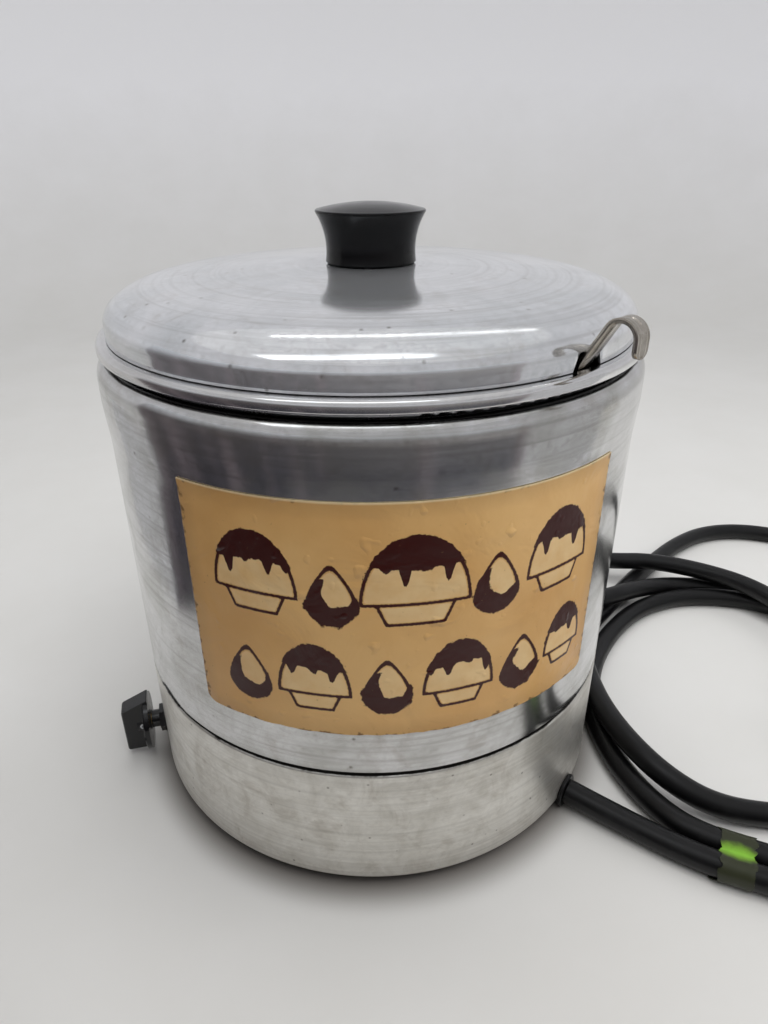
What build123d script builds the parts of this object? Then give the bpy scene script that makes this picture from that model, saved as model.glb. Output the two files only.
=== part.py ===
from build123d import *
import math
import os

# Topping warmer for hot fudge: a spun aluminium water warmer with an inset pan,
# a lid with a black knob, a ladle, a thermostat and a mains cord.
# Millimetres, +Z up. The origin is the axis of the warmer at the height of its feet.

# ---------------------------------------------------------------- driving dimensions
SHELL_R = 101.6                 # outer radius of both shells (8 inch across)
SHEET = 1.0                     # wall of the two shells
BASE_BOTTOM_Z = 6.0
BASE_CORNER_R = 1.6
BASE_SHOULDER_Z = 60.4          # where the base turns in to its neck
BASE_LIP_W = 9.6                # width of the turned-in bottom edge
NECK_GAP = 0.1                  # between the neck of the base and the upper shell
NECK_TOP_Z = BASE_SHOULDER_Z + 8.6
SHELL_BOTTOM_Z = BASE_SHOULDER_Z + 1.8
SHELL_FLARE = 1.0               # the shell widens by this below its shoulder
SHOULDER_Z = 184.0              # where the top shoulder starts
SHELL_FLARE_Z = (SHOULDER_Z - 22, SHOULDER_Z - 8)
SHOULDER = (4.6, 6.8)           # its size outwards and upwards
MOUTH_R = SHELL_R - 5.2

WELL_R = MOUTH_R - 0.35         # outer radius of the water well
WELL_WALL = 0.7
WELL_BOTTOM_Z = BASE_SHOULDER_Z + 3.6
WELL_CORNER_R = 6.0
BEAD_R = 1.65                   # rolled rim of the well
BEAD_OFFSET = 0.95              # bead centre outside the well's outer radius

PAN_WALL = 0.9
PAN_R = WELL_R - WELL_WALL - 0.95       # outer radius of the inset pan
PAN_FLOOR_Z = WELL_BOTTOM_Z + 10.9      # food side of its floor
PAN_CORNER_R = 10.0
PAN_RIM_R = SHELL_R - 0.3
PAN_RIM_Z = SHOULDER_Z + SHOULDER[1] + 6.5      # top of its rim
PAN_LIP_Z = PAN_RIM_Z - 4.9     # bottom of the rolled-over rim
PAN_FLARE_R = PAN_R - PAN_WALL + 3.1            # where the flared wall meets the rim

LID_WALL = 0.9
LID_R = PAN_RIM_R - 3.7
LID_GAP = 0.2                   # lid edge above the pan rim
LID_SKIRT = 4.6                 # height of its upright edge
LID_DOME = (22.8, 11.6)         # quarter ellipse of its shoulder
LID_DOME_END = 78.9             # degrees along that ellipse
LID_TOP_Z = PAN_RIM_Z + 20.1
NOTCH_W = (14.4, 10.0)          # ladle notch, at the edge and at its crown
NOTCH_H = 5.5

KNOB_R = (16.8, 20.0)           # lid knob at its foot and at its top rim
KNOB_WAIST_R = 16.5
KNOB_H = 17.8                   # foot to top rim
KNOB_CROWN = 3.0                # dome on top of it
KNOB_SCREW_R = 2.4

LADLE_AZ = -55.6                # degrees about Z where the ladle leans on the rim
LADLE_LEAN = 58.5               # degrees between its handle and the floor
STRAP = (6.5, 1.6)              # handle width and thickness
STRAP_RIM_GAP = 0.3             # between the strap and the flare of the pan
HOOK_R = 5.0
HOOK_TURN = 148.5
HOOK_BEND_Z = PAN_RIM_Z + 13.9
HOOK_END_Z = PAN_RIM_Z + 6.0
BOWL_R = 21.0
BOWL_WALL = 1.2
BOWL_STRAIGHT = 9.0
BOWL_DOME = 14.0
BOWL_FLOOR_GAP = 0.5
RIVET_R = 1.2
RIVET_Z = (-2.6, -7.0)          # from the bowl's mouth

DIAL_AZ = -172.6                # degrees about Z of the thermostat
DIAL_Z = 18.0
DIAL_STANDOFF = 7.0             # back of the knob from the wall
DIAL_R = 13.0
DIAL_SKIRT = 2.5
DIAL_DEPTH = 12.0
SHAFT_R = 3.0
SHAFT_GAP = 0.05
STEM_R = 4.0
GRIP_W = 8.0
GRIP_LOW = 12.6                 # the grip's foot below the axis
GRIP_TOP = (14.2, 9.2)          # its head above the axis, at the back and at the front
INSERT_R = 4.6                  # brass bush in the back of the knob
INSERT_L = 6.0
THERMOSTAT = (26.0, 34.0, 19.0)  # body: along the shaft, across and high
THERMOSTAT_GAP = 0.3            # between its body and the wall, and under it
STEM_SEAT = 8.5                 # depth of the stem inside that body

CORD_AZ = -44.0                 # degrees about Z of the cord's way out
CORD_R = 5.2
CORD_Z = CORD_R + 2.2
CORD_BORE_GAP = 0.1
CORD_END_R = SHELL_R + 1.8      # where the free cord starts, from the axis
CORD_INNER_START = 62.0         # end of its jacket inside the base
BUSH_NECK_R = CORD_R + 1.0
BUSH_FLANGE_R = CORD_R + 1.9
CLIP_R = 72.0                   # saddle that holds the cord, from the axis
CLIP_L = 9.0
CLIP_HOLE_X = 12.0
CLIP_T = 1.0
GROUND_R = 40.0
GROUND_AZ = 20.0
LEAD_R = 1.2

PLATE_Z = BASE_BOTTOM_Z + SHEET # underside of the bottom plate
PLATE_T = 1.0
PLATE_R = SHELL_R - SHEET - 0.8
FOOT_R = 10.5
FOOT_CIRCLE_R = SHELL_R - 21.6
FOOT_AZ = (65.0, 155.0, 245.0, 335.0)
LIP_SCREW_AZ = (45.0, 120.0, -110.0)

HEATER_R = (40.0, WELL_R - 21.05)
HEATER_T = 5.2
HEATER_GAP = 0.3
CLAMP_T = 1.5
STUD_CIRCLE_R = (HEATER_R[0] + HEATER_R[1]) / 2
STUD_R = 2.0
STUD_AZ = (30.0, 150.0, 270.0)
TERMINAL_R = 30.0
TERMINAL_AZ = (200.0, 235.0)

LABEL_Z = (SHELL_BOTTOM_Z + 17.6, SHOULDER_Z - 15.8)
LABEL_AZ = (-132.9, -47.1)
LABEL_T = 0.25
FIT = 0.05                      # small clearance between parts of one body

WRAP_Z = (WELL_BOTTOM_Z + 7, SHOULDER_Z - 4)    # insulation round the well
WRAP_R = (WELL_R + 0.45, SHELL_R - SHEET - 0.4)

UP = (Align.CENTER, Align.CENTER, Align.MIN)


# ---------------------------------------------------------------- helpers
def spun(*edges):
    """A solid of revolution about Z from a closed outline drawn as (radius, height)."""
    return revolve(Plane.XZ * make_face(list(edges)), Axis.Z)


def closed(*points):
    """Straight edges through the points and back to the first."""
    return Polyline(*points, close=True)


def sheet_face(points, radii, wall, side):
    """The section of a sheet of even wall whose one side follows rounded corners."""
    return make_face(offset(FilletPolyline(*points, radius=radii), wall, side=side, closed=True))


def ring(r_in, r_out, z_low, z_high):
    body = Pos(0, 0, z_low) * Cylinder(r_out, z_high - z_low, align=UP)
    hole = Pos(0, 0, z_low - 1) * Cylinder(r_in, z_high - z_low + 2, align=UP)
    return body - hole


def disc(r, z_low, z_high):
    return Pos(0, 0, z_low) * Cylinder(r, z_high - z_low, align=UP)


def polar(r, azimuth, z=0.0):
    a = math.radians(azimuth)
    return Pos(r * math.cos(a), r * math.sin(a), z)


def out_of(azimuth, z):
    """A place whose Z runs straight out from the axis at that azimuth, with its Y up."""
    a = math.radians(azimuth)
    out = (math.cos(a), math.sin(a), 0)
    return Plane(origin=(0, 0, z), x_dir=(-out[1], out[0], 0), z_dir=out).location


def upright(azimuth):
    """The upright plane through the axis at that azimuth: its X is the radius, its Y the height."""
    a = math.radians(azimuth)
    return Plane(origin=(0, 0, 0), x_dir=(math.cos(a), math.sin(a), 0), z_dir=(math.sin(a), -math.cos(a), 0))


def hexagon(across, height):
    return extrude(RegularPolygon(across / 2, 6, major_radius=False), height)


def dome_arc(rim_r, rim_z, top_z):
    """A shallow dome's section, from its rim to its top on the axis, where it is level."""
    rise = top_z - rim_z
    sphere_r = (rim_r ** 2 + rise ** 2) / (2 * rise)
    drop = sphere_r - math.sqrt(sphere_r ** 2 - rim_r ** 2 / 4)
    return ThreePointArc((rim_r, rim_z), (rim_r / 2, top_z - drop), (0, top_z))


def pan_head(r, height, shank_r, length):
    """A screw that points up, with the top of its head's underside at z = 0."""
    head = Pos(0, 0, -height) * Cylinder(r, height, align=UP)
    head = fillet(head.edges().group_by(Axis.Z)[0], height * 0.45)
    head -= Pos(0, 0, -height) * Box(r * 1.2, 0.8, height * 0.5, align=UP)
    return head + Cylinder(shank_r, length, align=UP)


# ---------------------------------------------------------------- shells, well and heater
def shell_outline():
    """The upper shell's outer side below its shoulder, as points and corner radii."""
    flare_r = SHELL_R + SHELL_FLARE
    low, high = SHELL_FLARE_Z
    return [(SHELL_R, SHELL_BOTTOM_Z), (SHELL_R, low), (flare_r, high), (flare_r, SHOULDER_Z)]


def base_shell():
    neck_r = SHELL_R - SHEET - NECK_GAP
    lip_r = SHELL_R - BASE_LIP_W
    step = SHELL_R - neck_r
    outer = FilletPolyline((lip_r, BASE_BOTTOM_Z), (SHELL_R, BASE_BOTTOM_Z), (SHELL_R, BASE_SHOULDER_Z),
                           (neck_r, BASE_SHOULDER_Z + 0.01), radius=[BASE_CORNER_R, step * 0.9])
    wall_r = SHELL_R - SHEET
    neck_in = neck_r - SHEET
    shoulder_in = BASE_SHOULDER_Z - 2 * SHEET
    outer_solid = spun(*outer.edges(), Line((neck_r, BASE_SHOULDER_Z + 0.01), (neck_r, NECK_TOP_Z)),
                       Line((neck_r, NECK_TOP_Z), (0, NECK_TOP_Z)), Line((0, NECK_TOP_Z), (0, BASE_BOTTOM_Z)),
                       Line((0, BASE_BOTTOM_Z), (lip_r, BASE_BOTTOM_Z)))
    hollow = closed((0, BASE_BOTTOM_Z + SHEET), (wall_r, BASE_BOTTOM_Z + SHEET), (wall_r, shoulder_in),
                    (neck_in, shoulder_in + SHEET), (neck_in, NECK_TOP_Z + 1), (0, NECK_TOP_Z + 1))
    solid = outer_solid - spun(hollow) - disc(lip_r, 0, PLATE_Z + 1)
    solid -= out_of(CORD_AZ, CORD_Z) * cord_notch(BUSH_NECK_R + CORD_BORE_GAP, wall_r - 1, SHELL_R + 1)
    solid -= out_of(CORD_AZ, CORD_Z) * cord_notch(BUSH_FLANGE_R + 0.6, lip_r - 1, wall_r - 0.2)
    solid -= out_of(DIAL_AZ, DIAL_Z) * Pos(0, 0, wall_r - 5) * Cylinder(STEM_R + SHAFT_GAP, 10, align=UP)
    for azimuth in LIP_SCREW_AZ:
        solid -= polar(lip_screw_r(), azimuth) * disc(1.6, 0, PLATE_Z + 0.5)
    return solid


def cord_notch(r, start, end):
    """A cutter for a U that is open at the bottom, along the cord from start to end."""
    round_top = Pos(0, 0, start) * Cylinder(r, end - start, align=UP)
    open_foot = Pos(0, 0, start) * Box(2 * r, 20, end - start, align=(Align.CENTER, Align.MAX, Align.MIN))
    return round_top + open_foot


def lip_screw_r():
    return SHELL_R - BASE_LIP_W / 2 - 1.2


def outer_shell():
    points = shell_outline()
    flare_r = points[-1][0]
    dx, dz = SHOULDER
    top_z = SHOULDER_Z + dz
    outer = [FilletPolyline(*points, radius=60)]
    outer += [EllipticalCenterArc((flare_r - dx, SHOULDER_Z), dx, dz, 0, arc_size=90)]
    outer += [Line((flare_r - dx, top_z), (MOUTH_R, top_z))]
    inner_r = flare_r - SHEET
    inner_points = [(x - SHEET, z) for x, z in points]
    inner = [FilletPolyline(*inner_points, radius=60)]
    inner_dx = inner_r - flare_r + dx
    inner += [EllipticalCenterArc((flare_r - dx, SHOULDER_Z), inner_dx, dz - SHEET, 0, arc_size=90)]
    inner += [Line((flare_r - dx, top_z - SHEET), (MOUTH_R, top_z - SHEET))]
    ends = [Line((MOUTH_R, top_z), (MOUTH_R, top_z - SHEET)), Line(points[0], inner_points[0])]
    edges = [e for part in outer + inner + ends for e in part.edges()]
    solid = revolve(Plane.XZ * make_face(edges), Axis.Z)
    rim = solid.edges().filter_by(GeomType.CIRCLE).sort_by(Axis.Z)[:2].sort_by(lambda e: e.radius)[-1]
    return fillet(rim, SHEET * 0.85)


def bead_place():
    """Radius and height of the centre of the well's rolled rim, which rests on the shell."""
    return WELL_R + BEAD_OFFSET, SHOULDER_Z + SHOULDER[1] + BEAD_R + FIT


def well():
    bead_r, bead_z = bead_place()
    inner_r = WELL_R - WELL_WALL
    face = sheet_face([(0, WELL_BOTTOM_Z), (WELL_R, WELL_BOTTOM_Z), (WELL_R, bead_z)],
                      WELL_CORNER_R, WELL_WALL, Side.LEFT)
    body = revolve(Plane.XZ * face, Axis.Z)
    bead = revolve(Plane.XZ * (Pos(bead_r, bead_z) * Circle(BEAD_R)), Axis.Z)
    solid = body + bead - ring(0, inner_r, bead_z - 1, bead_z + 5)
    for azimuth in STUD_AZ:
        solid -= polar(STUD_CIRCLE_R, azimuth) * disc(STUD_R + FIT, WELL_BOTTOM_Z - 1, WELL_BOTTOM_Z + 2)
    return solid


def insulation_wrap():
    return ring(*WRAP_R, *WRAP_Z)


def heater_top_z():
    return WELL_BOTTOM_Z - HEATER_GAP


def heater_disc():
    top = heater_top_z()
    solid = ring(*HEATER_R, top - HEATER_T, top)
    for azimuth in STUD_AZ:
        solid -= polar(STUD_CIRCLE_R, azimuth) * disc(STUD_R + 0.5, top - HEATER_T - 1, top + 1)
    for azimuth in TERMINAL_AZ:
        solid += out_of(azimuth, top - HEATER_T / 2) * Pos(0, 0, TERMINAL_R) * \
            Cylinder(1.8, HEATER_R[0] - TERMINAL_R + 1, align=UP)
    return solid


def clamp_top_z():
    return heater_top_z() - HEATER_T - FIT


def heater_plate():
    top = clamp_top_z()
    solid = ring(HEATER_R[0] + 4, HEATER_R[1] - 2, top - CLAMP_T, top)
    for azimuth in STUD_AZ:
        solid -= polar(STUD_CIRCLE_R, azimuth) * disc(STUD_R + 0.3, top - CLAMP_T - 1, top + 1)
    return solid


def heater_studs():
    """Studs through the well's floor, each with a sealed flat head inside the well."""
    floor = WELL_BOTTOM_Z + WELL_WALL
    low = clamp_top_z() - CLAMP_T - 6.5
    stud = disc(STUD_R, low, floor + 0.5) + disc(5.0, floor + FIT, floor + 1.4)
    return [polar(STUD_CIRCLE_R, azimuth) * stud for azimuth in STUD_AZ]


def heater_nuts():
    nut = hexagon(7.0, 3.2) - Cylinder(STUD_R + FIT, 20)
    z = clamp_top_z() - CLAMP_T - FIT - 3.2
    return [polar(STUD_CIRCLE_R, azimuth, z) * nut for azimuth in STUD_AZ]


# ---------------------------------------------------------------- thermostat and its knob
def thermostat_body():
    length, width, height = THERMOSTAT
    face_r = thermostat_face_r()
    low = PLATE_Z + PLATE_T + THERMOSTAT_GAP - DIAL_Z
    block = Box(width, height, length, align=(Align.CENTER, Align.MIN, Align.MIN))
    block = Pos(0, low, face_r - length) * block
    block = fillet(block.edges().filter_by(Axis.Y), 2.0)
    bore = Pos(0, 0, face_r - STEM_SEAT - 0.5) * Cylinder(STEM_R + FIT, 20, align=UP)
    return out_of(DIAL_AZ, DIAL_Z) * (block - bore)


def thermostat_face_r():
    """Radius of the thermostat's face, whose corners nearly reach the wall."""
    return math.sqrt((SHELL_R - SHEET) ** 2 - (THERMOSTAT[1] / 2) ** 2) - THERMOSTAT_GAP


def thermostat_bushing():
    """The threaded stem that holds the thermostat in the wall; the shaft turns in it."""
    start = thermostat_stem_start()
    end = SHELL_R + DIAL_STANDOFF - 0.6
    stem = Pos(0, 0, start) * Cylinder(STEM_R, end - start, align=UP)
    bore = Pos(0, 0, start - 1) * Cylinder(SHAFT_R + SHAFT_GAP, end - start + 2, align=UP)
    return out_of(DIAL_AZ, DIAL_Z) * (stem - bore)


def thermostat_stem_start():
    return thermostat_face_r() - STEM_SEAT


def thermostat_washer():
    washer = Pos(0, 0, SHELL_R + FIT) * (Cylinder(6.6, 0.6, align=UP) - Cylinder(STEM_R + FIT, 3))
    return out_of(DIAL_AZ, DIAL_Z) * washer


def thermostat_nut():
    nut = Pos(0, 0, SHELL_R + 0.7 + FIT) * (hexagon(11.0, 2.0) - Cylinder(STEM_R + FIT, 9))
    return out_of(DIAL_AZ, DIAL_Z) * nut


def thermostat_shaft():
    """A round shaft with a flat where the knob grips it."""
    start = thermostat_stem_start() + 0.5
    back = SHELL_R + DIAL_STANDOFF
    end = back + DIAL_DEPTH - 3.0
    shaft = Pos(0, 0, start) * Cylinder(SHAFT_R, end - start, align=UP)
    flat = Pos(0, SHAFT_R - 0.8, back + 0.5) * Box(9, 3, 20, align=(Align.CENTER, Align.MIN, Align.MIN))
    return out_of(DIAL_AZ, DIAL_Z) * (shaft - flat)


def thermostat_knob():
    """A round skirt with a bar grip whose pointed head slopes back to the skirt."""
    skirt = Cylinder(DIAL_R, DIAL_SKIRT, align=UP)
    skirt = fillet(skirt.edges().group_by(Axis.Z)[-1], 0.8)
    side = make_face(Polyline((-GRIP_LOW, 0), (-GRIP_LOW, DIAL_DEPTH), (GRIP_TOP[1], DIAL_DEPTH),
                              (GRIP_TOP[0], 0.6), (GRIP_TOP[0], 0), close=True))
    on_edge = Plane(origin=(-GRIP_W / 2, 0, 0), x_dir=(0, 1, 0), z_dir=(1, 0, 0))
    bar = extrude(on_edge * side, GRIP_W)
    bar = fillet(bar.edges().filter_by(GeomType.LINE).group_by(Axis.Z)[-1], 1.2)
    knob = skirt + bar
    knob -= Pos(0, 0, -1) * Cylinder(INSERT_R + FIT, INSERT_L + 1, align=UP)
    knob -= Cylinder(SHAFT_R + FIT, DIAL_DEPTH - 2.8, align=UP)
    knob -= Pos(0, 0, 3.4) * Rot(0, 90, 0) * Cylinder(1.55, 30, align=UP)
    return dial_place() * knob


def dial_place():
    return out_of(DIAL_AZ, DIAL_Z) * Pos(0, 0, SHELL_R + DIAL_STANDOFF)


def knob_insert():
    """The brass bush moulded into the back of the knob."""
    bush = Pos(0, 0, -0.35) * (Cylinder(INSERT_R, INSERT_L + 0.2, align=UP) - Cylinder(SHAFT_R + FIT, 20))
    bush -= Pos(0, 0, 3.4) * Rot(0, 90, 0) * Cylinder(1.55, 30, align=UP)
    return dial_place() * bush


def knob_set_screw():
    screw = Rot(0, 90, 0) * (Cylinder(1.5, GRIP_W / 2 + 0.2 - SHAFT_R, align=UP))
    socket = Pos(GRIP_W / 2 - SHAFT_R - 0.8, 0, 0) * Rot(0, 90, 0) * hexagon(1.5, 2)
    return dial_place() * Pos(SHAFT_R + FIT, 0, 3.4) * (screw - socket)


# ---------------------------------------------------------------- bottom, feet and wiring
def bottom_plate():
    solid = disc(PLATE_R, PLATE_Z, PLATE_Z + PLATE_T)
    slot = cord_notch(BUSH_FLANGE_R + 0.6, CORD_INNER_START - 4, PLATE_R + 5)
    solid -= out_of(CORD_AZ, CORD_Z) * slot
    for azimuth in FOOT_AZ:
        solid -= polar(FOOT_CIRCLE_R, azimuth) * disc(2.05, 0, 20)
    for azimuth in LIP_SCREW_AZ:
        solid -= polar(lip_screw_r(), azimuth) * disc(1.55, 0, 20)
    for side in (-1, 1):
        solid -= out_of(CORD_AZ, 0) * Pos(side * CLIP_HOLE_X, 0, CLIP_R) * Rot(90, 0, 0) * Cylinder(1.55, 40)
    solid -= polar(GROUND_R, GROUND_AZ) * disc(1.55, 0, 20)
    return solid


def bottom_screws():
    screw = Pos(0, 0, BASE_BOTTOM_Z - FIT) * pan_head(3.0, 1.6, 1.5, 4.2)
    return [polar(lip_screw_r(), azimuth) * screw for azimuth in LIP_SCREW_AZ]


def foot(azimuth):
    """A rubber foot, a little wider at its top, with a recess for its screw."""
    profile = FilletPolyline((0, 0), (FOOT_R - 1, 0), (FOOT_R, PLATE_Z), (0, PLATE_Z), radius=[1.4, 0.8])
    body = revolve(Plane.XZ * make_face([*profile.edges(), Line((0, PLATE_Z), (0, 0))]), Axis.Z)
    body -= disc(4.6, -1, 3.0) + disc(2.1, -1, 20)
    return polar(FOOT_CIRCLE_R, azimuth) * body


def foot_screws():
    screw = Pos(0, 0, 3.0 - FIT) * pan_head(4.0, 1.8, 2.0, 8.4)
    return [polar(FOOT_CIRCLE_R, azimuth) * screw for azimuth in FOOT_AZ]


def foot_nuts():
    nut = hexagon(6.5, 2.4) - Cylinder(2.05, 20)
    return [polar(FOOT_CIRCLE_R, azimuth, PLATE_Z + PLATE_T + FIT) * nut for azimuth in FOOT_AZ]


def cord_bushing():
    """A rubber bush in the notch of the base, with a flange on each side of the wall."""
    inner_wall = SHELL_R - SHEET
    neck = Pos(0, 0, inner_wall - 1.6) * Cylinder(BUSH_NECK_R, CORD_END_R - inner_wall + 1.6, align=UP)
    outer = Pos(0, 0, SHELL_R + 0.2) * Cylinder(BUSH_FLANGE_R, CORD_END_R - SHELL_R - 0.2, align=UP)
    outer = fillet(outer.edges(), 0.5)
    inner = Pos(0, 0, inner_wall - 2.6) * Cylinder(BUSH_FLANGE_R, 1.8, align=UP)
    bore = Pos(0, 0, 50) * Cylinder(CORD_R + CORD_BORE_GAP, 80, align=UP)
    return out_of(CORD_AZ, CORD_Z) * (neck + outer + inner - bore)


def cord_inner():
    length = CORD_END_R - CORD_INNER_START
    return out_of(CORD_AZ, CORD_Z) * Pos(0, 0, CORD_INNER_START) * Cylinder(CORD_R, length, align=UP)


def cord_clamp():
    """A saddle over the cord, screwed to the plate on both sides of its slot."""
    plate_top = PLATE_Z + PLATE_T + FIT - CORD_Z
    arch = Cylinder(CORD_R + 0.15 + CLIP_T, CLIP_L, align=UP)
    ears = Box(2 * CLIP_HOLE_X + 8, CLIP_T, CLIP_L, align=(Align.CENTER, Align.MIN, Align.MIN))
    ears = Pos(0, plate_top, 0) * ears
    body = arch + ears - Cylinder(CORD_R + 0.15, 60)
    body -= Pos(0, plate_top, 0) * Box(90, 30, 60, align=(Align.CENTER, Align.MAX, Align.CENTER))
    for side in (-1, 1):
        body -= Pos(side * CLIP_HOLE_X, 0, CLIP_L / 2) * Rot(90, 0, 0) * Cylinder(1.6, 30)
    return out_of(CORD_AZ, CORD_Z) * Pos(0, 0, CLIP_R - CLIP_L / 2) * body


def clamp_screws():
    top = PLATE_Z + PLATE_T + CLIP_T + 2 * FIT
    screw = Rot(180, 0, 0) * pan_head(2.8, 1.5, 1.5, 4.4)
    return [Rot(0, 0, CORD_AZ) * Pos(CLIP_R, side * CLIP_HOLE_X, top) * screw for side in (-1, 1)]


def tube(points, radius, bend):
    """A round lead through the points, with each corner an arc of the given radius."""
    path = FilletPolyline(*points, radius=bend)
    start = Plane(origin=path @ 0, z_dir=path % 0)
    return sweep(start * Circle(radius), path)


def at(r, azimuth, z):
    a = math.radians(azimuth)
    return (r * math.cos(a), r * math.sin(a), z)


def lead_line():
    """From the cord to the thermostat, across the base."""
    face = thermostat_back_r()
    start = at(CORD_INNER_START - 0.5, CORD_AZ - 3.2, CORD_Z + 1.5)
    middle = [at(45, CORD_AZ - 6, 14), at(35, -120, 24), at(face - 12, DIAL_AZ + 12, 22)]
    return tube([start, *middle, at(face - 0.6, DIAL_AZ + 6, 22)], LEAD_R, 4)


def thermostat_back_r():
    return thermostat_face_r() - THERMOSTAT[0]


def lead_heater():
    """From the thermostat up to the heater's first terminal."""
    top = heater_top_z() - HEATER_T / 2
    face = thermostat_back_r()
    return tube([at(face - 0.6, DIAL_AZ - 5, 22), at(face - 16, DIAL_AZ - 5, 23), at(40, 190, 40),
                 at(18, TERMINAL_AZ[0], top), at(TERMINAL_R - 0.4, TERMINAL_AZ[0], top)], LEAD_R, 4)


def lead_neutral():
    """From the cord up to the heater's second terminal."""
    top = heater_top_z() - HEATER_T / 2
    return tube([at(CORD_INNER_START - 0.5, CORD_AZ, CORD_Z + 3.2), at(44, CORD_AZ - 3, 20), at(24, -60, 42),
                 at(15, TERMINAL_AZ[1], top), at(TERMINAL_R - 0.4, TERMINAL_AZ[1], top)], LEAD_R, 4)


def lead_ground():
    """From the cord to the ground screw in the bottom plate."""
    top = PLATE_Z + PLATE_T
    start = at(CORD_INNER_START - 0.5, CORD_AZ + 3.2, CORD_Z + 1.5)
    end = at(GROUND_R + 1, GROUND_AZ - 7, top + LEAD_R + 1.2)
    return tube([start, at(55, CORD_AZ + 6, 10.8), at(46, -10, 11), end], LEAD_R, 3)


def ground_screw():
    """The screw that clamps the ground lead's ring terminal to the plate."""
    top = PLATE_Z + PLATE_T
    terminal = disc(3.6, top + FIT, top + 0.9) - disc(1.6, 0, 30)
    screw = Pos(0, 0, top + 0.95) * Rot(180, 0, 0) * pan_head(2.9, 1.6, 1.5, 4.0)
    return [polar(GROUND_R, GROUND_AZ) * terminal, polar(GROUND_R, GROUND_AZ) * screw]


# ---------------------------------------------------------------- label
def label():
    """A thin sticker that follows the shell, flare included."""
    low, high = SHELL_FLARE_Z
    rise = SHELL_FLARE * (LABEL_Z[1] - low) / (high - low)
    r = SHELL_R + FIT
    out_r = r + LABEL_T
    outline = FilletPolyline((r, LABEL_Z[0]), (r, low), (r + rise, LABEL_Z[1]), radius=40)
    outer = FilletPolyline((out_r, LABEL_Z[0]), (out_r, low), (out_r + rise, LABEL_Z[1]), radius=40)
    ends = [Line(outline @ 0, outer @ 0), Line(outline @ 1, outer @ 1)]
    face = make_face([*outline.edges(), *outer.edges(), *ends])
    first, last = LABEL_AZ
    return Rot(0, 0, first) * revolve(Plane.XZ * face, Axis.Z, revolution_arc=last - first)


# ---------------------------------------------------------------- inset pan and lid
def pan_face():
    floor_r = PAN_R - PAN_WALL
    slope = 1 / math.tan(math.radians(LADLE_LEAN))
    flare_low = PAN_RIM_Z - (PAN_FLARE_R - floor_r) / slope
    inner = [(0, PAN_FLOOR_Z), (floor_r, PAN_FLOOR_Z), (floor_r, flare_low), (PAN_FLARE_R, PAN_RIM_Z),
             (PAN_RIM_R, PAN_RIM_Z), (PAN_RIM_R, PAN_LIP_Z)]
    return sheet_face(inner, [PAN_CORNER_R, 3.0, 1.4, 2.2], PAN_WALL, Side.RIGHT)


def inset_pan():
    return revolve(Plane.XZ * pan_face(), Axis.Z)


def lid_edge_z():
    return PAN_RIM_Z + LID_GAP


def lid_side(drop):
    """One side of the lid's section, from its edge to the axis, drop inside the outer side."""
    a, b = LID_DOME[0] - drop, LID_DOME[1] - drop
    foot = lid_edge_z()
    turn_z = foot + LID_SKIRT
    centre_r = LID_R - LID_DOME[0]
    end = math.radians(LID_DOME_END)
    joint = (centre_r + a * math.cos(end), turn_z + b * math.sin(end))
    return [Line((LID_R - drop, foot), (LID_R - drop, turn_z)),
            EllipticalCenterArc((centre_r, turn_z), a, b, 0, arc_size=LID_DOME_END),
            dome_arc(*joint, LID_TOP_Z - drop)]


def lid():
    outer, inner = lid_side(0), lid_side(LID_WALL)
    ends = [Line((LID_R, lid_edge_z()), (LID_R - LID_WALL, lid_edge_z())),
            Line((0, LID_TOP_Z), (0, LID_TOP_Z - LID_WALL))]
    solid = revolve(Plane.XZ * make_face([*outer, *inner, *ends]), Axis.Z)
    solid -= lid_notch()
    return solid - disc(KNOB_SCREW_R + 0.1, LID_TOP_Z - 5, LID_TOP_Z + 5)


def lid_notch():
    wide, narrow = NOTCH_W[0] / 2, NOTCH_W[1] / 2
    low = lid_edge_z() - 4
    crown = lid_edge_z() + NOTCH_H
    outline = FilletPolyline((-wide, low), (-wide, lid_edge_z()), (-narrow, crown), (narrow, crown),
                             (wide, lid_edge_z()), (wide, low), radius=[1.5, 2.0, 2.0, 1.5])
    face = make_face([*outline.edges(), Line((wide, low), (-wide, low))])
    plane = out_of(LADLE_AZ, 0) * Pos(0, 0, LID_R - 12)
    return extrude(plane * face, 24)


def lid_knob():
    """A solid black knob with hollow flanks, a sharp top rim and a slightly domed top."""
    foot_z = LID_TOP_Z + FIT
    rim_z = foot_z + KNOB_H
    foot_r, rim_r = KNOB_R
    waist = (KNOB_WAIST_R, foot_z + 5.0)
    flank = ThreePointArc((foot_r, foot_z + 0.6), waist, (rim_r, rim_z - 0.5))
    rim = ThreePointArc((rim_r, rim_z - 0.5), (rim_r + 0.15, rim_z + 0.15), (rim_r - 0.5, rim_z + 0.6))
    crown = dome_arc(rim_r - 0.5, rim_z + 0.6, rim_z + KNOB_CROWN)
    foot = Line((foot_r, foot_z + 0.6), (foot_r - 0.6, foot_z))
    hole_r, hole_top = KNOB_SCREW_R + FIT, foot_z + 12
    hole = Polyline((foot_r - 0.6, foot_z), (hole_r, foot_z), (hole_r, hole_top), (0, hole_top),
                    (0, rim_z + KNOB_CROWN))
    return spun(flank, rim, crown, foot, *hole.edges())


def knob_washer():
    top = LID_TOP_Z - LID_WALL - 0.1
    return ring(KNOB_SCREW_R + 0.1, 6.0, top - 0.8, top)


def knob_screw():
    head_z = LID_TOP_Z - LID_WALL - 0.95
    return Pos(0, 0, head_z) * pan_head(4.6, 2.4, KNOB_SCREW_R, 12.5)


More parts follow.
